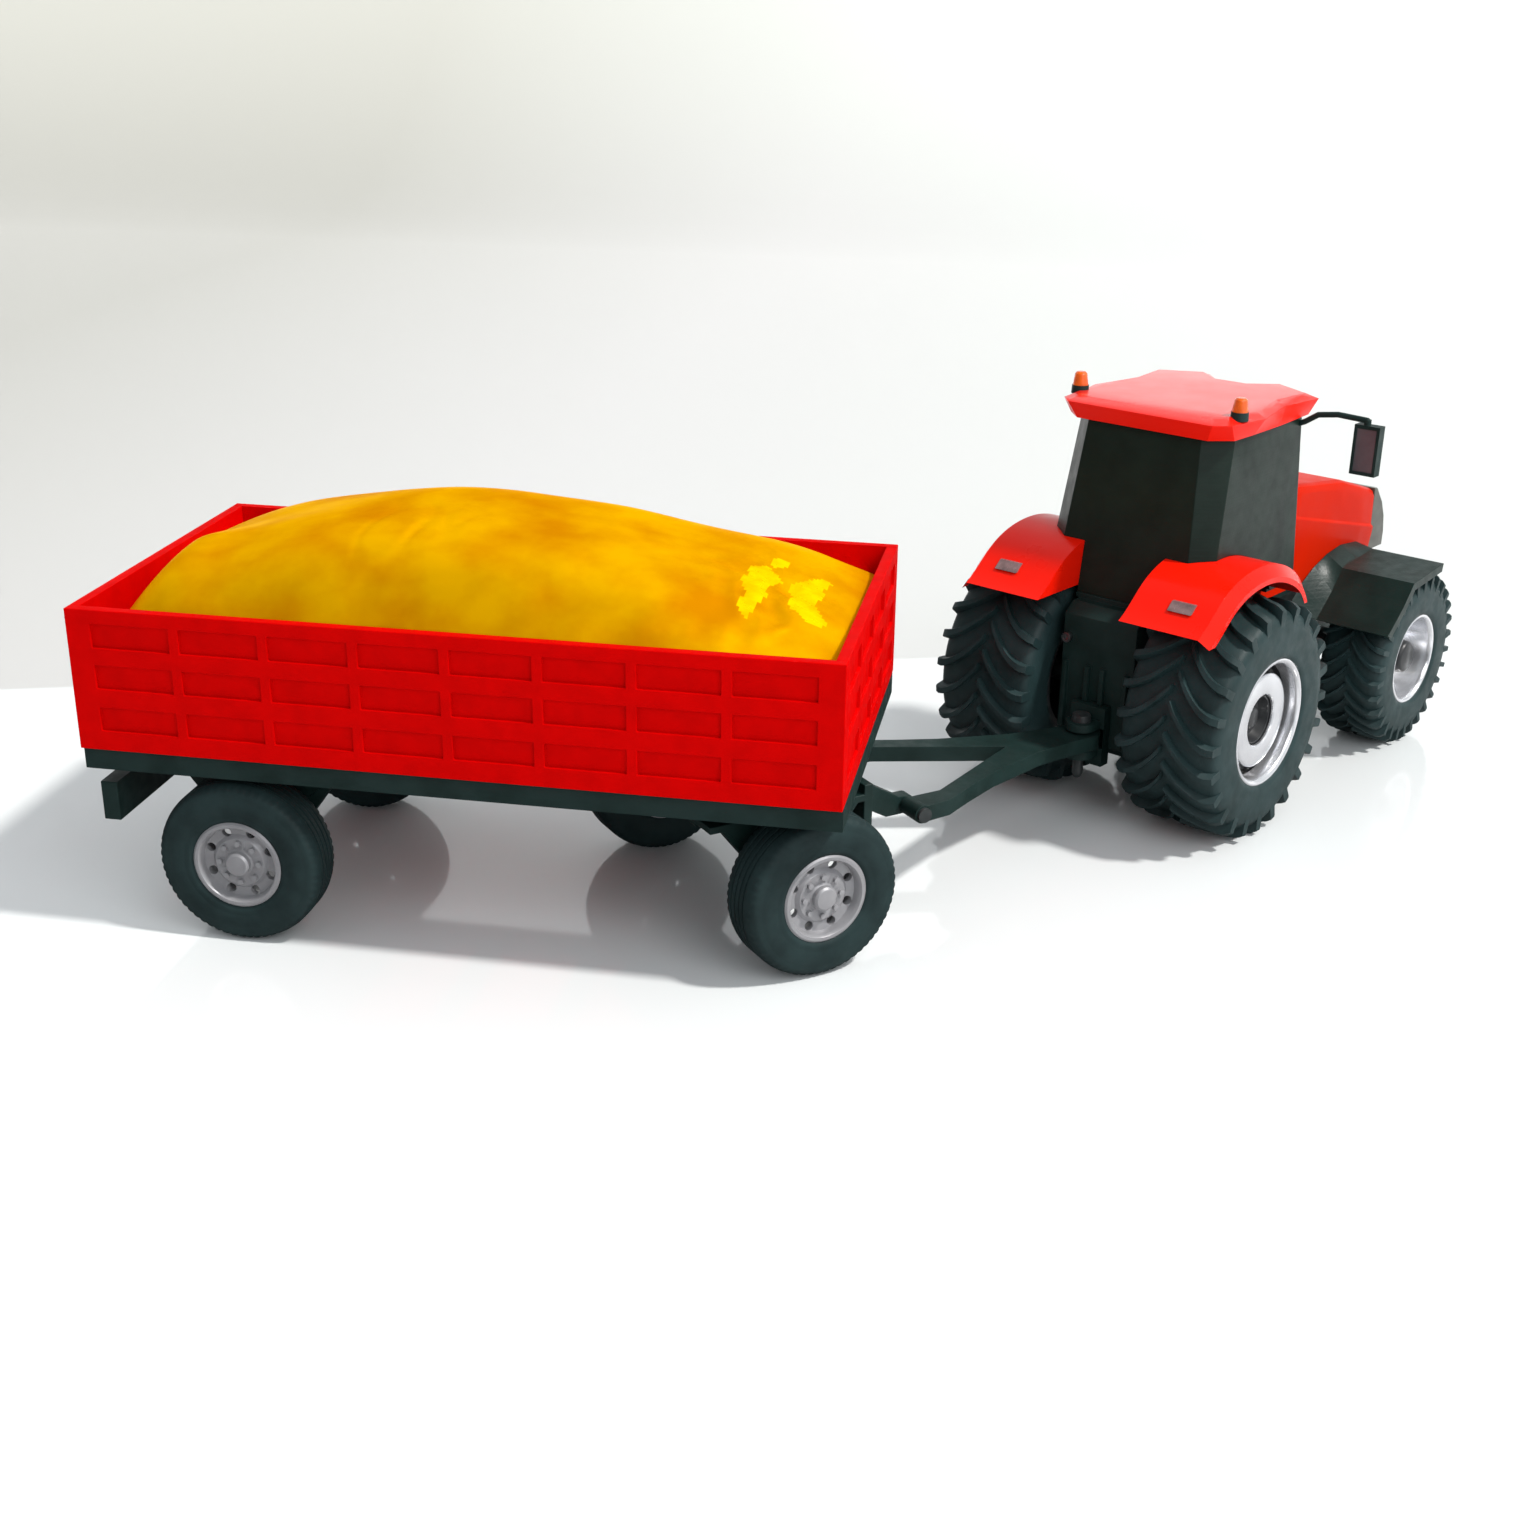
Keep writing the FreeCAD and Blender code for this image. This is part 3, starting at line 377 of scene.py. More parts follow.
FINISHES = (
    Finish("red_box_print", (0.53, 0.0003, 0.0003), (0.47, 0.0003, 0.0003), (0.50, 0.62), 0.015, patch=9 * MM,
           layer=0.8 * MM, layer_depth=0.03 * MM),
    Finish("red_body_print", (0.74, 0.008, 0.0010), (0.72, 0.007, 0.0010), (0.26, 0.34), 0.12, coat=0.10,
           coat_roughness=0.14, patch=40 * MM, layer=0.8 * MM, layer_depth=0.02 * MM),
    Finish("hood_print", (0.50, 0.012, 0.0006), (0.47, 0.010, 0.0006), (0.34, 0.44), 0.02,
           patch=40 * MM, layer=0.8 * MM, layer_depth=0.02 * MM),
    Finish("roof_print", (0.76, 0.010, 0.0020), (0.73, 0.008, 0.0016), (0.30, 0.38), 0.10, coat=1.0,
           coat_roughness=0.22, patch=40 * MM, layer=0.9 * MM, layer_depth=0.004 * MM, grain_depth=0.008 * MM,
           top_coat_only=True),
    Finish("cab_print", (0.008, 0.017, 0.013), (0.006, 0.013, 0.010), (0.30, 0.44), 0.15, coat=0.04,
           layer=0.9 * MM, layer_depth=0.05 * MM),
    Finish("chassis_print", (0.010, 0.026, 0.024), (0.006, 0.018, 0.016), (0.42, 0.60), 0.20,
           layer=0.9 * MM, layer_depth=0.04 * MM),
    Finish("fender_black_print", (0.008, 0.021, 0.018), (0.005, 0.014, 0.012), (0.32, 0.46), 0.20,
           layer=1.0 * MM, layer_depth=0.06 * MM, grain=1.3 * MM, grain_depth=0.06 * MM),
    Finish("farm_tyre_rubber", (0.015, 0.034, 0.036), (0.009, 0.023, 0.024), (0.46, 0.62), 0.26,
           grain=0.8 * MM, grain_depth=0.05 * MM),
    Finish("trailer_tyre_rubber", (0.013, 0.028, 0.029), (0.008, 0.018, 0.019), (0.55, 0.72), 0.18,
           grain=0.7 * MM, grain_depth=0.03 * MM),
    Finish("rim_bright", (0.74, 0.75, 0.78), (0.64, 0.65, 0.68), (0.18, 0.27), 0.5, metallic=0.85, coat=0.2,
           grain_depth=0.003 * MM),
    Finish("rim_satin", (0.30, 0.30, 0.315), (0.24, 0.24, 0.255), (0.32, 0.46), 0.45, metallic=0.3),
    Finish("hub_dark", (0.022, 0.024, 0.026), (0.014, 0.015, 0.017), (0.28, 0.42), 0.45),
    Finish("beacon_amber", (0.74, 0.115, 0.006), (0.50, 0.06, 0.003), (0.14, 0.22), 0.5, coat=0.5,
           coat_roughness=0.08, patch=5 * MM),
    Finish("lamp_lens", (0.20, 0.13, 0.13), (0.12, 0.08, 0.08), (0.2, 0.3), 0.5, patch=4 * MM),
    Finish("grille_print", (0.060, 0.062, 0.050), (0.038, 0.040, 0.032), (0.3, 0.45), 0.45),
    Finish("mirror_face", (0.075, 0.078, 0.085), (0.055, 0.058, 0.065), (0.12, 0.18), 0.6),
    Finish("pin_steel", (0.40, 0.41, 0.42), (0.28, 0.29, 0.30), (0.25, 0.4), 0.5, metallic=1.0, patch=5 * MM),
    Finish("pin_dark", (0.030, 0.036, 0.037), (0.018, 0.022, 0.023), (0.3, 0.45), 0.4, patch=5 * MM),
    Finish("silk_gold", (0.84, 0.43, 0.0004), (0.66, 0.24, 0.0003), (0.34, 0.44), 0.0, metallic=0.62,
           patch=34 * MM, grain=2.6 * MM, grain_depth=0.05 * MM, layer=1.1 * MM, layer_depth=0.02 * MM,
           gleam=(1.0, 0.72, 0.02)),
    # painted highlight for the crumpled patch at the front of the heap
    Finish("silk_gleam", (0.96, 0.66, 0.0008), (0.90, 0.48, 0.0005), (0.26, 0.36), 0.0, metallic=0.55,
           patch=9 * MM, grain=2.0 * MM, grain_depth=0.05 * MM, gleam=(1.0, 0.82, 0.05)),
)


class Paint:
    """Materials by name, each made once.

    Attributes:
        _made: The materials made so far.
    """

    _made: dict = {}

    @classmethod
    def get(cls, name: str) -> bpy.types.Material:
        """Finds or makes a finish.

        Args:
            name: A name in FINISHES.

        Returns:
            The material.
        """
        if name not in cls._made:
            recipe = {finish.name: finish for finish in FINISHES}[name]
            cls._made[name] = recipe.build()
        return cls._made[name]


# ---- mesh helpers -------------------------------------------------------------------------------
@dataclass
class Shape:
    """A mesh under construction.

    Attributes:
        vertices: Corner positions.
        faces: Tuples of vertex numbers.
    """

    vertices: list = field(default_factory=list)
    faces: list = field(default_factory=list)

    def add(self, vertices: list, faces: list) -> None:
        """Appends another mesh.

        Args:
            vertices: Corner positions.
            faces: Faces that count from the first of those corners.
        """
        start = len(self.vertices)
        self.vertices.extend(vertices)
        self.faces.extend(tuple(start + i for i in face) for face in faces)

    def lathe(self, profile: list, segments: int = 96) -> None:
        """Turns an open (radius, y) profile about the Y axis.

        Args:
            profile: Points in metres; a radius of 0 closes the end.
            segments: Steps round the axis.
        """
        rings = []
        vertices = []
        for radius, y in profile:
            if radius < 1e-7:
                rings.append([len(vertices)] * segments)
                vertices.append(Vector((0, y, 0)))
                continue
            rings.append(list(range(len(vertices), len(vertices) + segments)))
            for step in range(segments):
                angle = 2 * math.pi * step / segments
                vertices.append(Vector((radius * math.cos(angle), y, radius * math.sin(angle))))
        faces = []
        for inner, outer in zip(rings, rings[1:]):
            for step in range(segments):
                following = (step + 1) % segments
                corners = [inner[step], inner[following], outer[following], outer[step]]
                faces.append(tuple(dict.fromkeys(corners)))
        self.add(vertices, faces)

    def tube(self, sections: list) -> None:
        """Joins closed cross-sections of equal length into one capped bar.

        Args:
            sections: Lists of corner positions.
        """
        count = len(sections[0])
        faces = [tuple(reversed(range(count)))]
        for row in range(len(sections) - 1):
            for i in range(count):
                j = (i + 1) % count
                faces.append((row * count + i, row * count + j, (row + 1) * count + j, (row + 1) * count + i))
        last = (len(sections) - 1) * count
        faces.append(tuple(range(last, last + count)))
        self.add([point for section in sections for point in section], faces)

    def make(self, name: str, finish: str, smooth: float = 35.0) -> bpy.types.Object:
        """Makes the Blender object.

        Args:
            name: Object name.
            finish: Name of its finish.
            smooth: Faces that meet at less than this angle, in degrees, shade smoothly.

        Returns:
            The new object.
        """
        mesh = bpy.data.meshes.new(name)
        mesh.from_pydata([tuple(v) for v in self.vertices], [], self.faces)
        work = bmesh.new()
        work.from_mesh(mesh)
        bmesh.ops.recalc_face_normals(work, faces=work.faces)
        for face in work.faces:
            face.smooth = True
        for edge in work.edges:
            edge.smooth = not edge.is_manifold or edge.calc_face_angle(0.0) < math.radians(smooth)
        work.to_mesh(mesh)
        work.free()
        piece = bpy.data.objects.new(name, mesh)
        bpy.context.scene.collection.objects.link(piece)
        mesh.materials.append(Paint.get(finish))
        return piece


def tint(piece: bpy.types.Object, finish: str, below: float) -> None:
    """Gives the part of a turned piece that lies deeper than a level a second finish.

    Args:
        piece: The object, with its outer face towards +Y.
        finish: Name of the second finish.
        below: Faces whose middle has a smaller y than this change finish.
    """
    piece.data.materials.append(Paint.get(finish))
    for face in piece.data.polygons:
        if face.center.y < below:
            face.material_index = 1


def soften(piece: bpy.types.Object, width: float, segments: int = 2, angle: float = 34.0) -> None:
    """Rounds the sharp edges with modifiers, which leave the mesh itself alone.

    Args:
        piece: The object.
        width: Width of the rounding.
        segments: Steps across the rounding.
        angle: Smallest edge angle that is rounded, in degrees.
    """
    weld = piece.modifiers.new("weld", "WELD")
    weld.merge_threshold = 0.001 * MM
    bevel = piece.modifiers.new("edge", "BEVEL")
    bevel.width = width
    bevel.segments = segments
    bevel.limit_method = "ANGLE"
    bevel.angle_limit = math.radians(angle)
    bevel.harden_normals = False
    bevel.use_clamp_overlap = True
    even = piece.modifiers.new("even", "WEIGHTED_NORMAL")
    even.keep_sharp = False


def dress(frame: dict, names: list, finish: str, edge: float = 0.0) -> None:
    """Gives CAD nodes a procedural finish and rounded edges.

    Args:
        frame: The loaded frame.
        names: Node names.
        finish: Name of the finish.
        edge: Width of the rounding, or 0 to leave edges sharp.
    """
    for name in names:
        LOG.info("%s: %s", name, finish)
        node = frame["nodes"][name]
        node.data.materials.clear()
        node.data.materials.append(Paint.get(finish))
        if edge:
            soften(node, edge)


@dataclass
class WheelPlace:
    """Where a wheel sits, read from the joint it turns on.

    Attributes:
        centre: Middle of the wheel.
        outward: Direction of its outer face.
        body: Name of the body that it is.
    """

    centre: Vector
    outward: Vector
    body: str

    @classmethod
    def of(cls, frame: dict, body: str, side: Side) -> "WheelPlace":
        """Finds the joint that carries a wheel body.

        Args:
            frame: The loaded frame.
            body: The wheel's body name.
            side: Which side it is on.

        Returns:
            Its place.
        """
        joint = next(j for j in frame["joints"] if j["child"] == body)
        return cls(Vector(joint["pos_m"]), Vector(joint["axis"]) * side.value, body)

    def mount(self, piece: bpy.types.Object, *nodes: str, slot: str) -> None:
        """Puts a piece built about the Y axis onto the wheel, in place of CAD nodes.

        Args:
            piece: The object, with its outer face towards +Y.
            *nodes: CAD nodes that it stands for.
            slot: Material slot in the record; not used.
        """
        up = Vector((0, 0, 1))
        ahead = self.outward.cross(up).normalized()
        turn = Matrix((ahead, self.outward, up)).transposed().to_4x4()
        piece.data.transform(Matrix.Translation(self.centre) @ turn)
        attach(piece, self.body)
        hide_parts(*nodes)
        LOG.info("%s: stands for %s", piece.name, ", ".join(nodes))


# ---- wheels -------------------------------------------------------------------------------------
@dataclass(frozen=True)
class FarmTyre:
    """Chevron-tread tyre of the tractor.

    Attributes:
        radius: Radius over the lugs.
        half_width: Half of the section width.
        rim_radius: Radius of the bead.
        lugs: Number of lugs on each side.
        lug_height: Height of a lug over the carcass.
    """

    radius: float
    half_width: float
    rim_radius: float
    lugs: int
    lug_height: float

    def carcass(self) -> list:
        """Outline from the inner bead over the tread to the outer bead.

        Returns:
            Points of (radius, y).
        """
        crown = self.radius - self.lug_height
        half = self.half_width
        side = [(self.rim_radius - 0.6 * MM, half - 2.2 * MM), (self.rim_radius + 0.3 * MM, half - 1.0 * MM),
                (self.rim_radius + 1.6 * MM, half - 0.3 * MM), (self.rim_radius + 3.0 * MM, half - 0.15 * MM),
                (crown - 9.0 * MM, half - 0.1 * MM), (crown - 5.0 * MM, half - 0.5 * MM),
                (crown - 2.6 * MM, half - 1.7 * MM), (crown - 1.2 * MM, half - 3.6 * MM)]
        top = [(crown, 0.66 * half), (crown + 0.2 * MM, 0.3 * half), (crown + 0.2 * MM, -0.3 * half),
               (crown, -0.66 * half)]
        return side + top + [(r, -y) for r, y in reversed(side)]

    def lug(self, phase: float, side: int) -> list:
        """One curved bar of the tread.

        Args:
            phase: Angle of its inner end.
            side: 1 for the outer half of the tread, -1 for the inner half.

        Returns:
            Cross-sections from the middle of the tread to the shoulder.
        """
        pitch = 2 * math.pi / self.lugs
        foot = self.radius - self.lug_height - 1.2 * MM
        sections = []
        steps = 11
        for step in range(steps):
            share = step / (steps - 1)
            y = side * self.half_width * (0.03 + 0.955 * share)
            angle = phase + pitch * 1.22 * math.sin(share * math.pi / 2) ** 0.9
            half = pitch * (0.125 + 0.05 * share)
            drop = 2.1 * MM * max(0.0, share - 0.86) / 0.14
            top = self.radius - drop - 0.35 * MM * share
            ring = []
            for turn, radius in ((-1, foot - drop * 2.5), (-0.82, top - 0.9 * MM), (-0.62, top),
                                 (0.62, top), (0.82, top - 0.9 * MM), (1, foot - drop * 2.5)):
                bearing = angle + turn * half
                ring.append(Vector((radius * math.cos(bearing), y, radius * math.sin(bearing))))
            sections.append(ring)
        return sections

    def build(self, name: str, side: Side) -> bpy.types.Object:
        """Makes the tyre.

        Args:
            name: Object name.
            side: Side of the vehicle, which sets the hand of the tread.

        Returns:
            The tyre about the Y axis.
        """
        shape = Shape()
        shape.lathe(self.carcass(), 144)
        pitch = 2 * math.pi / self.lugs
        hand = side.value
        for index in range(self.lugs):
            for half in (-1, 1):
                stagger = 0.25 * pitch * half * hand
                sections = self.lug(index * pitch + stagger - math.pi / 2, half)
                shape.tube([[Vector((p.x * hand, p.y, p.z)) for p in ring] for ring in sections])
        return shape.make(name, "farm_tyre_rubber", 42.0)


@dataclass(frozen=True)
class TurnedPiece:
    """A rim or hub, turned about the wheel's axis.

    Attributes:
        finish: Name of its finish.
        profile: Points of (radius, y) in millimetres; y grows outwards.
        segments: Steps round the axis.
        smooth: Faces that meet at less than this angle, in degrees, shade smoothly.
        dark_below: Faces deeper than this y, in millimetres, are dark.
    """

    finish: str
    profile: tuple
    segments: int = 96
    smooth: float = 40.0
    dark_below: float = -math.inf

    def build(self, name: str) -> bpy.types.Object:
        """Makes the piece.

        Args:
            name: Object name.

        Returns:
            The piece about the Y axis.
        """
        shape = Shape()
        shape.lathe([(r * MM, y * MM) for r, y in self.profile], self.segments)
        piece = shape.make(name, self.finish, self.smooth)
        if self.dark_below > -math.inf:
            tint(piece, "hub_dark", self.dark_below * MM)
        return piece


# outer lip, dark gap and raised inner ring round a deep bowl; the faces deeper than dark_below take the dark
# hub finish, which is painted shade in the gap and down into the bowl
REAR_RIM = TurnedPiece("rim_bright", (
    (26.6, -22.6), (29.2, -23.0), (29.4, -22.0), (29.4, 22.6), (29.3, 23.3), (28.8, 23.5), (28.2, 23.4),
    (27.2, 22.6), (26.7, 21.6), (26.4, 18.0), (26.0, 15.6), (25.7, 13.4), (25.5, 12.9), (22.4, 12.9),
    (21.9, 13.4), (21.8, 18.0), (21.6, 18.8), (21.0, 19.2), (20.2, 19.3), (13.2, 19.3), (12.3, 19.1),
    (11.8, 18.6), (11.6, 17.8), (11.6, 6.0), (4.1, 6.0), (4.1, 2.0), (25.4, 2.0), (26.6, -22.6),
), segments=128, smooth=30.0, dark_below=16.0)

# dark bowl with the axle's cap in its middle
REAR_HUB = TurnedPiece("hub_dark", (
    (0, 8.2), (11.5, 8.2), (11.5, 16.9), (11.1, 17.2), (10.5, 17.1), (9.6, 14.6), (8.8, 12.9), (7.0, 12.2),
    (5.6, 12.0), (5.2, 12.4), (5.0, 14.6), (4.6, 15.2), (3.9, 15.5), (0, 15.6),
))

# deep bright dish
FRONT_RIM = TurnedPiece("rim_bright", (
    (20.6, -15.4), (22.6, -15.6), (22.8, -14.8), (22.8, 15.2), (22.7, 15.8), (22.2, 16.0), (21.5, 15.8),
    (20.8, 15.0), (20.4, 13.6), (19.9, 10.4), (18.4, 5.2), (17.4, 2.2), (16.6, 0.9), (15.4, 0.2),
    (14.6, 0.0), (3.6, 0.0), (3.6, -4.0), (17.5, -4.0), (20.6, -15.4),
), segments=128, smooth=30.0, dark_below=0.6)

# barrel that stands out of the front dish
FRONT_HUB = TurnedPiece("hub_dark", (
    (6.2, 0.0), (9.2, 0.0), (9.25, 0.8), (8.9, 1.2), (8.7, 7.4), (8.3, 8.4), (7.9, 11.0), (7.4, 12.0),
    (6.5, 12.5), (3.2, 12.6), (2.8, 12.8), (0, 12.8),
))


@dataclass(frozen=True)
class TrailerTyre:
    """Road tyre of the trailer: plain sidewall, four fine tread grooves and cut shoulders.

    Attributes:
        radius: Outer radius.
        half_width: Half of the width.
        rim_radius: Radius of the bead.
        segments: Steps round the axis.
        grooves: Places of the tread grooves across the tyre.
        groove_half: Half of a groove's width at its foot.
        groove_depth: Depth of a groove.
        cut_depth: Depth of the cuts in the shoulders.
        cut_from: Radius where the cuts start.
        cut_to: Radius where they end.
    """

    radius: float = 33.5 * MM
    half_width: float = 11.3 * MM
    rim_radius: float = 18.2 * MM
    segments: int = 180
    grooves: tuple = (4.5 * MM, 1.55 * MM, -1.55 * MM, -4.5 * MM)
    groove_half: float = 0.4 * MM
    groove_depth: float = 0.8 * MM
    cut_depth: float = 0.45 * MM
    cut_from: float = 31.2 * MM
    cut_to: float = 33.1 * MM

    def sidewall(self) -> list:
        """Half outline from the bead to the tread's edge.

        Returns:
            Points of (radius, y) on the outer side.
        """
        inset = ((-0.3, 1.6), (0.1, 1.0), (0.9, 0.5), (2.2, 0.0), (3.2, 0.25), (3.8, 0.05), (9.2, 0.02),
                 (9.9, 0.3), (10.6, 0.32), (12.0, 0.55), (13.3, 0.9), (14.4, 2.2), (14.8, 3.4), (15.0, 4.4))
        return [(self.rim_radius + rise * MM, self.half_width - depth * MM) for rise, depth in inset]

    def tread(self) -> list:
        """Outline across the tread with its grooves.

        Returns:
            Points of (radius, y) from +y to -y.
        """
        edge = (self.radius - 0.1 * MM, self.half_width - 5.0 * MM)
        foot = self.radius - self.groove_depth
        mouth_half = self.groove_half + 0.15 * MM
        points = [edge]
        for middle in self.grooves:
            points += [(self.radius, middle + mouth_half), (foot, middle + self.groove_half),
                       (foot, middle - self.groove_half), (self.radius, middle - mouth_half)]
        points.append((edge[0], -edge[1]))
        return points

    def build(self, name: str) -> bpy.types.Object:
        """Makes the tyre with small cuts round both shoulders.

        Args:
            name: Object name.

        Returns:
            The tyre about the Y axis.
        """
        side = self.sidewall()
        shape = Shape()
        shape.lathe(side + self.tread() + [(r, -y) for r, y in reversed(side)], self.segments)
        piece = shape.make(name, "trailer_tyre_rubber", 40.0)
        for vertex in piece.data.vertices:
            reach = math.hypot(vertex.co.x, vertex.co.z)
            outside = abs(vertex.co.y) > self.half_width - 4.0 * MM
            shoulder = self.cut_from < reach < self.cut_to and outside
            step = round(math.atan2(vertex.co.z, vertex.co.x) / (2 * math.pi) * self.segments)
            if shoulder and step % 3 == 0:
                vertex.co.x *= 1 - self.cut_depth / reach
                vertex.co.z *= 1 - self.cut_depth / reach
        return piece


@dataclass
class Wheels:
    """All wheels of the tractor and the trailer.

    Attributes:
        frame: The loaded frame.
    """

    frame: dict

    def build(self) -> None:
        """Makes every tyre, rim and hub."""
        rear = FarmTyre(54.7 * MM, 24.5 * MM, 29.4 * MM, 24, 3.6 * MM)
        front = FarmTyre(44.1 * MM, 17.0 * MM, 22.8 * MM, 30, 2.8 * MM)
        for side in Side:
            self._tractor_wheel("rear", side, rear, REAR_RIM, REAR_HUB)
            self._tractor_wheel("front", side, front, FRONT_RIM, FRONT_HUB)
            for end in ("bogie", "trailer"):
                self._trailer_wheel(end, side)

    def _tractor_wheel(self, end: str, side: Side, tyre: FarmTyre,
                       rim: TurnedPiece, hub: TurnedPiece) -> None:
        """Makes one tractor wheel from its three pieces.

        Args:
            end: "rear" or "front".
            side: Side of the tractor.
            tyre: Its tyre.
            rim: Its rim.
            hub: Its hub.
        """
        stem = f"{end}_{side.word}"
        place = WheelPlace.of(self.frame, f"{stem}_wheel", side)
        place.mount(tyre.build(f"{stem}_chevron_tyre", side), f"{stem}_tyre", slot="tyre_black")
        place.mount(rim.build(f"{stem}_bright_rim"), f"{stem}_rim", slot="rim_silver")
        place.mount(hub.build(f"{stem}_wheel_hub"), f"{stem}_hub", slot="hub_dark")

    def _trailer_wheel(self, end: str, side: Side) -> None:
        """Makes one trailer tyre and dresses its rim.

        Args:
            end: "bogie" or "trailer".
            side: Side of the trailer.
        """
        stem = f"{end}_{side.word}"
        place = WheelPlace.of(self.frame, f"{stem}_wheel", side)
        place.mount(TrailerTyre().build(f"{stem}_road_tyre"), f"{stem}_tyre", slot="tyre_black")
        dress(self.frame, [f"{stem}_rim"], "rim_satin", 0.25 * MM)


# ---- load ---------------------------------------------------------------------------------------
def swell(value: float, middle: float, width: float) -> float:
    """Bell-shaped share.

    Args:
        value: Where it is read.
        middle: Where it is 1.
        width: How far from the middle it has fallen to about a third.

    Returns:
        A share from 0 to 1.
    """
    return math.exp(-((value - middle) / width) ** 2)


@dataclass
class Heap:
    """The golden heap in the trailer box: a long smooth mound with soft folds.

    In its methods u runs from -1 at the tail to 1 at the front, and v from -1 at the right wall to 1 at
    the left wall.

    Attributes:
        frame: The loaded frame; not used.
        columns: Steps along the box.
        rows: Steps across the box.
        rim: Height of the heap's edge in the middle of the long walls.
        crown: Height of the mound's middle over that edge.
        lean: How much the mound gains towards the tail.
        wall_round: Power that shapes the mound towards the long walls.
        tail_round: Power that shapes it towards the tail.
        front_round: Power that shapes it towards the front.
        fold_depth: Depth of the crumpled folds at the front.
    """

    frame: dict
    columns: int = 220
    rows: int = 110
    rim: float = 134.5 * MM
    crown: float = 29.5 * MM
    lean: float = 10.9 * MM
    wall_round: float = 3.07
    tail_round: float = 1.48
    front_round: float = 1.82
    fold_depth: float = 5.0 * MM

    def __post_init__(self) -> None:
        """Reads the heap's place from its CAD node."""
        self.low, self.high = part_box("heap_load")
        self.centre = (self.low + self.high) / 2
        self.half = (self.high - self.low) / 2

    def height(self, u: float, v: float) -> float:
        """Height of the smooth mound.

        Args:
            u: Place along the box.
            v: Place across the box.

        Returns:
            Height above the ground.
        """
        ridge = self.crown - self.lean * u + self.lean * u * u
        end_round = self.tail_round if u < 0 else self.front_round
        cover = (1 - abs(v) ** self.wall_round) * (1 - abs(u) ** end_round)
        edge = self.rim - (2.8 * abs(u) ** 5 + 10.0 * abs(u) ** 4 * abs(v) ** 3) * MM
        near_wall = min(1.0, max(0.0, (0.1 - v) / 0.4))
        hollow = 14.0 * MM * max(0.0, -u) ** 16 * near_wall
        brow = 6.0 * MM * swell(u, -0.82, 0.10) * near_wall * (1 - abs(v) ** 6)
        return edge + ridge * cover - hollow + brow

    def folds(self, x: float, y: float, u: float, v: float) -> float:
        """Soft dents and creases that break up the smooth mound.

        Args:
            x: Place along the box, in metres.
            y: Place across the box, in metres.
            u: Place along the box.
            v: Place across the box.

        Returns:
            Height to add.
        """
        broad = noise.noise(Vector((x * 22, y * 26, 0.3))) * 1.6 * MM
        crease = 1 - abs(noise.noise(Vector((x * 60 + 3, y * 34, 1.7)))) * 2
        dent = max(0.0, crease - 0.55) * 2.4 * MM * swell(u, -0.18, 0.16) * swell(v, -0.35, 0.4)
        ripple = abs(noise.noise(Vector((x * 95, y * 60 + 5, 2.2)))) * self.fold_depth
        crumple = ripple * swell(u, 0.80, 0.16) * swell(v, -0.25, 0.5)
        fade = min(1.0, 6 * (1 - abs(v))) * min(1.0, 6 * (1 - abs(u)))
        return (broad - dent - crumple) * fade

    def surface(self) -> list:
        """Corners of the upper surface.

        Returns:
            Rows of points across the box, one after the other from the tail to the front.
        """
        points = []
        for i in range(self.columns + 1):
            for j in range(self.rows + 1):
                u = 2 * i / self.columns - 1
                v = 2 * j / self.rows - 1
                x = self.centre.x + self.half.x * u
                y = self.centre.y + self.half.y * v
                z = min(self.height(u, v) + self.folds(x, y, u, v), self.high.z)
                points.append(Vector((x, y, z)))
        return points

    def border(self) -> list:
        """Numbers of the surface's outer corners.

        Returns:
            The numbers in order, once round.
        """
        wide = self.rows + 1
        return ([i * wide for i in range(self.columns + 1)]
                + [self.columns * wide + j for j in range(1, wide)]
                + [i * wide + self.rows for i in range(self.columns - 1, -1, -1)]
                + list(range(self.rows - 1, 0, -1)))

    def gleam(self, piece: bpy.types.Object) -> None:
        """Gives the crumpled patch near the front a painted highlight: a brighter, yellower silk finish.

        Args:
            piece: The heap.
        """
        piece.data.materials.append(Paint.get("silk_gleam"))
        for face in piece.data.polygons:
            place = face.center
            u = (place.x - self.centre.x) / self.half.x
            v = (place.y - self.centre.y) / self.half.y
            crumple = noise.noise(Vector((place.x * 90, place.y * 60, 6.1)))
            if swell(u, 0.82, 0.15) * swell(v, -0.22, 0.45) + 0.9 * crumple > 0.72:
                face.material_index = 1

    def build(self) -> None:
        """Makes the heap with its skirt down to the box floor."""
        points = self.surface()
        wide = self.rows + 1
        faces = [(i * wide + j, (i + 1) * wide + j, (i + 1) * wide + j + 1, i * wide + j + 1)
                 for i in range(self.columns) for j in range(self.rows)]
        border = self.border()
        start = len(points)
        for k, corner in enumerate(border):
            following = (k + 1) % len(border)
            faces.append((corner, border[following], start + following, start + k))
        skirt = [Vector((points[k].x, points[k].y, self.low.z)) for k in border]
        shape = Shape()
        shape.add(points + skirt, faces)
        piece = shape.make("golden_heap", "silk_gold", 60.0)
        self.gleam(piece)
        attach(piece, "load")
        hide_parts("heap_load")
        LOG.info("%s: stands for heap_load", piece.name)


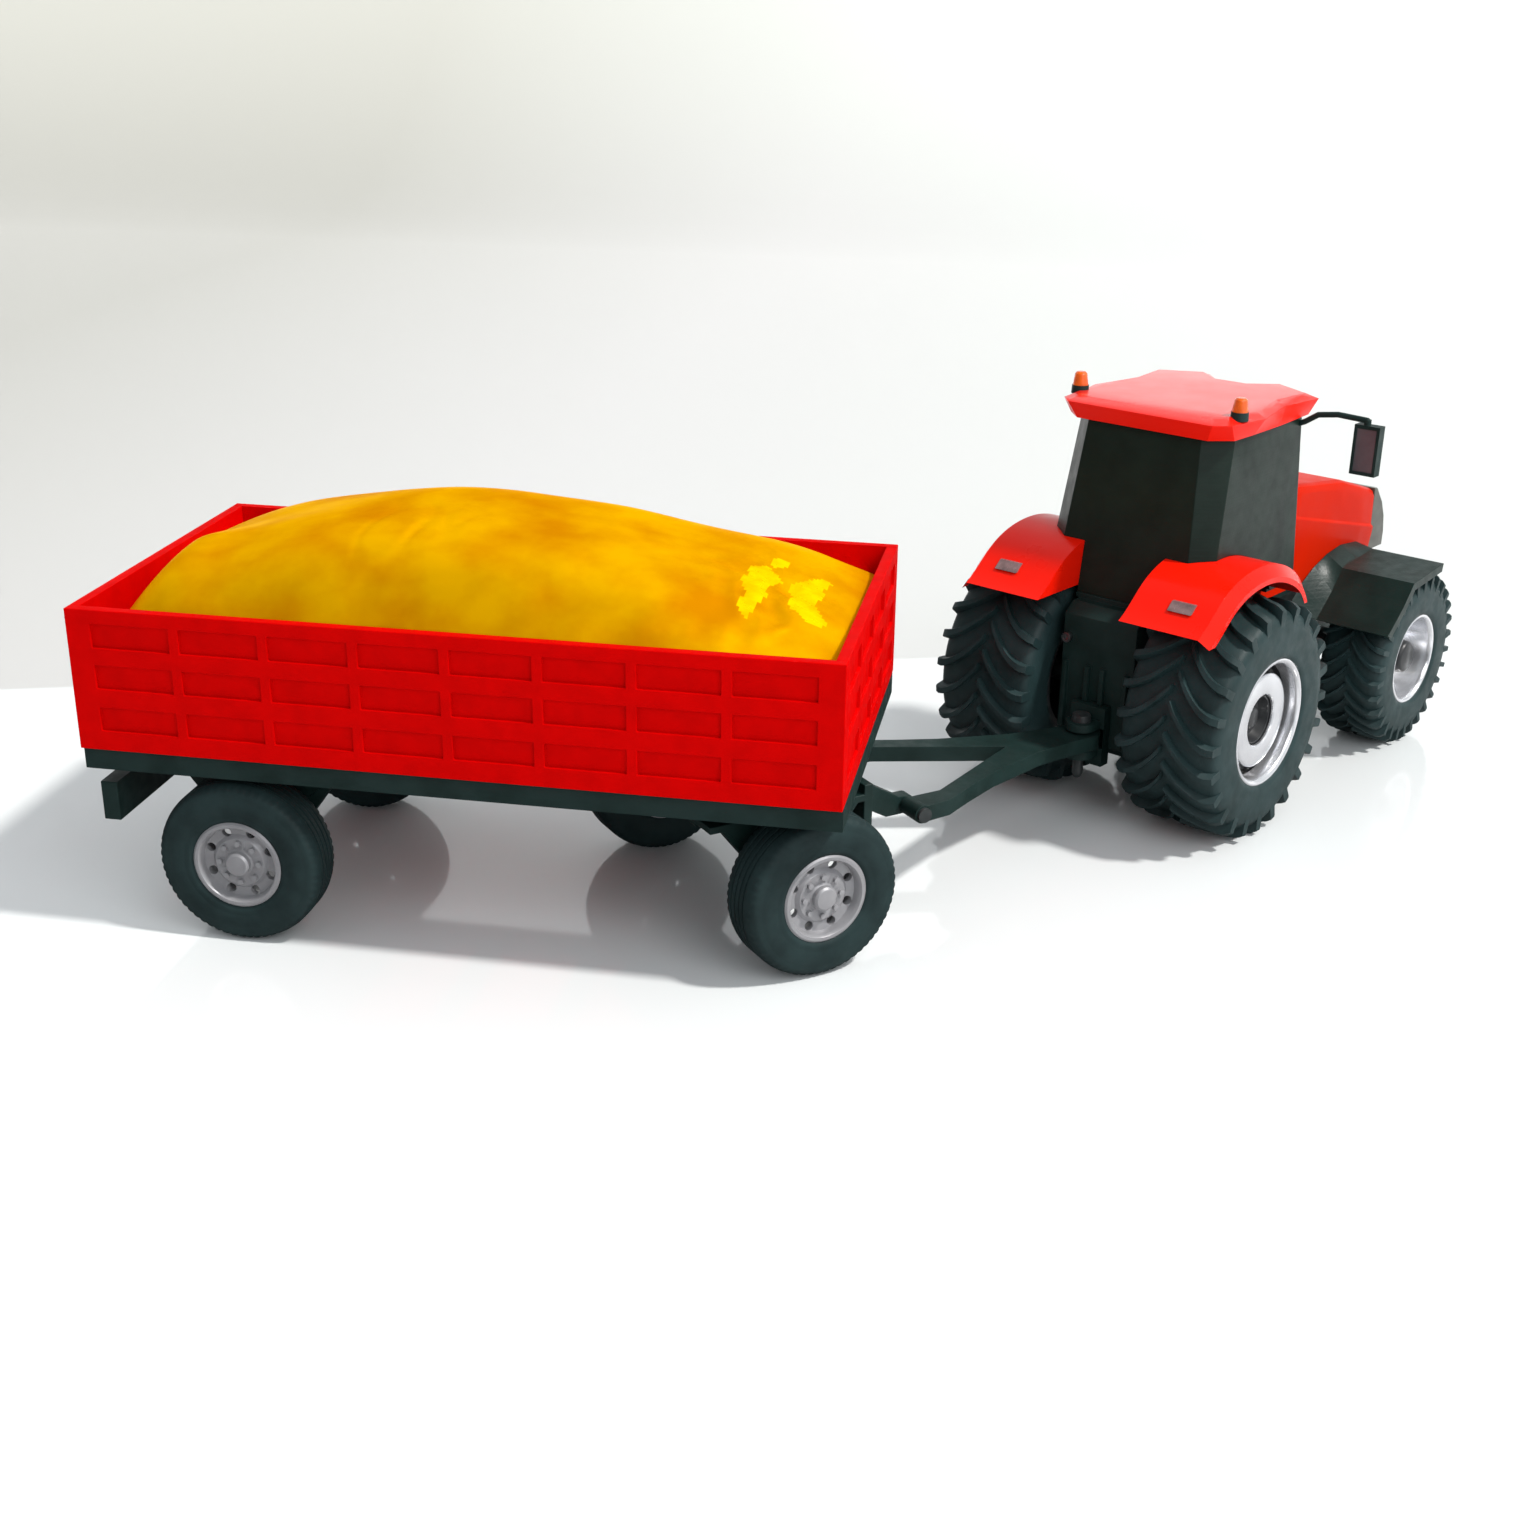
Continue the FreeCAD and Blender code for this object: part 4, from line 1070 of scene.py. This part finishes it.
# ---- bodies made of CAD nodes -------------------------------------------------------------------
@dataclass
class Tractor:
    """Dresses the tractor's own nodes.

    Attributes:
        frame: The loaded frame.
    """

    frame: dict

    def build(self) -> None:
        """Gives every tractor node its finish."""
        both = [side.word for side in Side]
        dress(self.frame, ["tractor_chassis", "hitch_bracket"], "chassis_print", 0.5 * MM)
        dress(self.frame, ["cab_shell"], "cab_print", 0.9 * MM)
        dress(self.frame, ["cab_roof"], "roof_print", 0.9 * MM)
        dress(self.frame, ["hood"], "hood_print", 0.6 * MM)
        dress(self.frame, [f"rear_fender_{side}" for side in both], "red_body_print", 0.6 * MM)
        dress(self.frame, [f"front_fender_{side}" for side in both], "fender_black_print", 0.6 * MM)
        dress(self.frame, ["mirror_right"], "chassis_print", 0.3 * MM)
        dress(self.frame, ["mirror_glass_right"], "mirror_face")
        dress(self.frame, ["beacon_bases"], "chassis_print")
        dress(self.frame, [f"beacon_lens_{side}" for side in both], "beacon_amber", 0.3 * MM)
        dress(self.frame, [f"tail_light_{side}" for side in both], "lamp_lens")
        dress(self.frame, ["grille"], "grille_print", 0.5 * MM)
        dress(self.frame, ["rear_coupler"], "pin_steel", 0.2 * MM)
        dress(self.frame, ["rear_axle", "front_axle", "hitch_pin"], "pin_dark", 0.2 * MM)


@dataclass
class Trailer:
    """Dresses the trailer's box, its running gear and the drawbar.

    Attributes:
        frame: The loaded frame.
    """

    frame: dict

    def build(self) -> None:
        """Gives every trailer node its finish."""
        walls = ["bed_floor", "side_panel_left", "side_panel_right", "front_panel", "tail_panel"]
        gear = ["chassis_frame", "rear_bumper", "rear_hangers", "turntable_upper", "turntable_lower",
                "bogie_frame", "drawbar"]
        dress(self.frame, walls, "red_box_print", 0.35 * MM)
        dress(self.frame, gear, "chassis_print", 0.4 * MM)
        dress(self.frame, ["kingpin", "bogie_axle", "trailer_axle", "drawbar_pins"], "pin_dark", 0.2 * MM)


# ---- studio -------------------------------------------------------------------------------------
@dataclass
class Studio:
    """Floor, lights and camera.

    Attributes:
        camera_place: Where the camera stands.
        heading: Bearing of the view, in radians from +X.
        tilt: How far the view looks down, in radians.
        roll: Lean of the camera, in radians.
        lens: Focal length in millimetres.
        wall_far: How far behind the origin the wall stands.
        wall_bend: Radius of the bend from the floor to the wall.
        wall_height: Height of the wall.
        floor_reach: How far the floor reaches to the front and to each side.
        edge_place: Where the table's far edge crosses the Y axis.
        edge_slant: How much further the edge lies per metre along X.
        edge_blur: Width over which the table turns into the wall.
        key_from: Direction that the key light comes from.
    """

    camera_place: tuple = (0.101691, -0.873992, 0.371186)
    heading: float = 1.745941
    tilt: float = 0.390335
    roll: float = 0.013728
    lens: float = 46.814
    wall_far: float = 2.6
    wall_bend: float = 0.9
    wall_height: float = 2.6
    floor_reach: float = 4.0
    edge_place: float = 0.178
    edge_slant: float = 0.328
    edge_blur: float = 0.004
    key_from: tuple = (0.69, -0.06, 1.0)

    def build(self) -> None:
        """Makes the whole studio."""
        self._floor()
        self._sky()
        self._lights()
        self._camera()
        bpy.context.scene.view_settings.view_transform = "Standard"

    def _floor(self) -> None:
        """Makes a pale floor that curves up into a wall far behind the object."""
        start = self.wall_far - self.wall_bend
        outline = [(-self.floor_reach, 0.0), (start, 0.0)]
        steps = 16
        for step in range(1, steps + 1):
            angle = math.pi / 2 * step / steps
            outline.append((start + self.wall_bend * math.sin(angle), self.wall_bend * (1 - math.cos(angle))))
        outline.append((self.wall_far, self.wall_height))
        corners = [(x, y, z) for y, z in outline for x in (-self.floor_reach, self.floor_reach)]
        faces = [(2 * i, 2 * i + 1, 2 * i + 3, 2 * i + 2) for i in range(len(outline) - 1)]
        mesh = bpy.data.meshes.new("studio_floor")
        mesh.from_pydata(corners, [], faces)
        mesh.materials.append(self._floor_finish())
        for face in mesh.polygons:
            face.use_smooth = True
        floor = bpy.data.objects.new("studio_floor", mesh)
        bpy.context.scene.collection.objects.link(floor)

    def _floor_finish(self) -> bpy.types.Material:
        """Makes the floor's material: a glossy white table, and a matt wall behind its far edge.

        Returns:
            The material.
        """
        material = bpy.data.materials.new("pale_floor")
        graph = NodeGraph.of_material(material)
        shader = graph.add("ShaderNodeBsdfPrincipled")
        output = graph.add("ShaderNodeOutputMaterial")
        graph.link(shader.outputs["BSDF"], output.inputs["Surface"])
        shader.inputs["Roughness"].default_value = 0.32
        shader.inputs["Specular IOR Level"].default_value = 0.1
        shader.inputs["Coat IOR"].default_value = 2.1
        shader.inputs["Coat Roughness"].default_value = 0.07
        rays = graph.add("ShaderNodeLightPath")
        place = graph.split("ShaderNodeTexCoord", "Object")
        across = graph.ramp(place.outputs["X"], (0.15, DULL), (0.40, TABLE))
        behind = graph.ramp(place.outputs["Y"], (0.25, DULL), (0.55, TABLE))
        mirrored = graph.blend(1.0, across, behind, "LIGHTEN")
        slant = graph.math("MULTIPLY_ADD", place.outputs["X"], -self.edge_slant, place.outputs["Y"])
        beyond = graph.span(slant, self.edge_place, self.edge_place + self.edge_blur)
        table = graph.blend(rays.outputs["Is Camera Ray"], (*TABLE, 1), (*TABLE_SEEN, 1))
        direct = graph.blend(beyond, table, self._wall_tint(graph, place))
        graph.link(graph.blend(rays.outputs["Is Glossy Ray"], direct, mirrored), shader.inputs["Base Color"])
        graph.link(graph.math("SUBTRACT", 1.0, beyond), shader.inputs["Coat Weight"])
        return material

    def _wall_tint(self, graph: NodeGraph, place: bpy.types.Node) -> bpy.types.NodeSocket:
        """Painted shade on the wall: its colour is darker to the left and to the bottom, paler to the right
        and to the top.

        Args:
            graph: The floor's node tree.
            place: Node that splits the place into X, Y and Z.

        Returns:
            The colour socket.
        """
        sweep = graph.span(place.outputs["X"], -1.0, 0.5)
        low, high = (graph.ramp(sweep, *zip((0.0, 0.45, 1.0), row)) for row in (WALL_LOW, WALL_HIGH))
        return graph.blend(graph.span(place.outputs["Z"], 0.0, 0.30), low, high)

    def _lights(self) -> None:
        """Makes one warm key from the front and a small panel at the front right."""
        key = bpy.data.lights.new("key", "SUN")
        key.energy = 3.6
        key.angle = math.radians(5.0)
        key.color = (1.0, 0.97, 0.93)
        self._hang(key, (0.0, 0.0, 0.0), self.key_from)
        panel = bpy.data.lights.new("side_panel_light", "AREA")
        panel.energy = 5.0
        panel.size = 0.7
        self._hang(panel, (0.62, -0.90, 0.75), (0.55, -0.9, 0.7))

    def _hang(self, light: bpy.types.Light, place: tuple, comes_from: tuple) -> None:
        """Puts a light into the scene.

        Args:
            light: The light.
            place: Where it hangs.
            comes_from: Direction that its light comes from.
        """
        lamp = bpy.data.objects.new(light.name, light)
        lamp.location = place
        lamp.rotation_euler = Vector(comes_from).to_track_quat("Z", "Y").to_euler()
        bpy.context.scene.collection.objects.link(lamp)

    def _sky(self) -> None:
        """Makes an even pale sky; glossy surfaces see it bright only behind and to the right."""
        world = bpy.data.worlds.new("soft_sky")
        world.use_nodes = True
        graph = NodeGraph(world.node_tree)
        even = world.node_tree.nodes["Background"]
        even.inputs["Color"].default_value = (0.93, 0.97, 1.0, 1)
        even.inputs["Strength"].default_value = 0.72
        bearing = graph.split("ShaderNodeTexCoord", "Generated")
        strengths = [graph.span(bearing.outputs[axis], start, end, 0.10, 0.85)
                     for axis, start, end in (("X", 0.1, 0.7), ("Y", 0.1, 0.6))]
        mirrored = graph.add("ShaderNodeBackground")
        mirrored.inputs["Color"].default_value = (0.95, 0.98, 1.0, 1)
        graph.link(graph.math("MAXIMUM", *strengths), mirrored.inputs["Strength"])
        mix = graph.add("ShaderNodeMixShader")
        graph.link(graph.add("ShaderNodeLightPath").outputs["Is Glossy Ray"], mix.inputs["Fac"])
        graph.link(even.outputs["Background"], mix.inputs[1])
        graph.link(mirrored.outputs["Background"], mix.inputs[2])
        graph.link(mix.outputs["Shader"], world.node_tree.nodes["World Output"].inputs["Surface"])
        bpy.context.scene.world = world

    def _camera(self) -> None:
        """Makes a camera on the toy's right side that looks down at it."""
        ahead = Vector((math.cos(self.heading) * math.cos(self.tilt),
                        math.sin(self.heading) * math.cos(self.tilt), -math.sin(self.tilt)))
        right = Vector((math.sin(self.heading), -math.cos(self.heading), 0))
        up = right.cross(ahead)
        leaned = right * math.cos(self.roll) + up * math.sin(self.roll)
        raised = up * math.cos(self.roll) - right * math.sin(self.roll)
        data = bpy.data.cameras.new("camera")
        data.lens = self.lens
        data.sensor_width = 36.0
        data.clip_start = 0.01
        camera = bpy.data.objects.new("camera", data)
        turn = Matrix((leaned, raised, -ahead)).transposed().to_4x4()
        camera.matrix_world = Matrix.Translation(Vector(self.camera_place)) @ turn
        bpy.context.scene.collection.objects.link(camera)
        bpy.context.scene.camera = camera


def main() -> None:
    """Builds the looks round the frame."""
    logging.basicConfig(level=logging.INFO)
    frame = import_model()
    Tractor(frame).build()
    Trailer(frame).build()
    Wheels(frame).build()
    Heap(frame).build()
    Studio().build()
    bpy.context.view_layer.update()


if __name__ == "__main__":
    main()
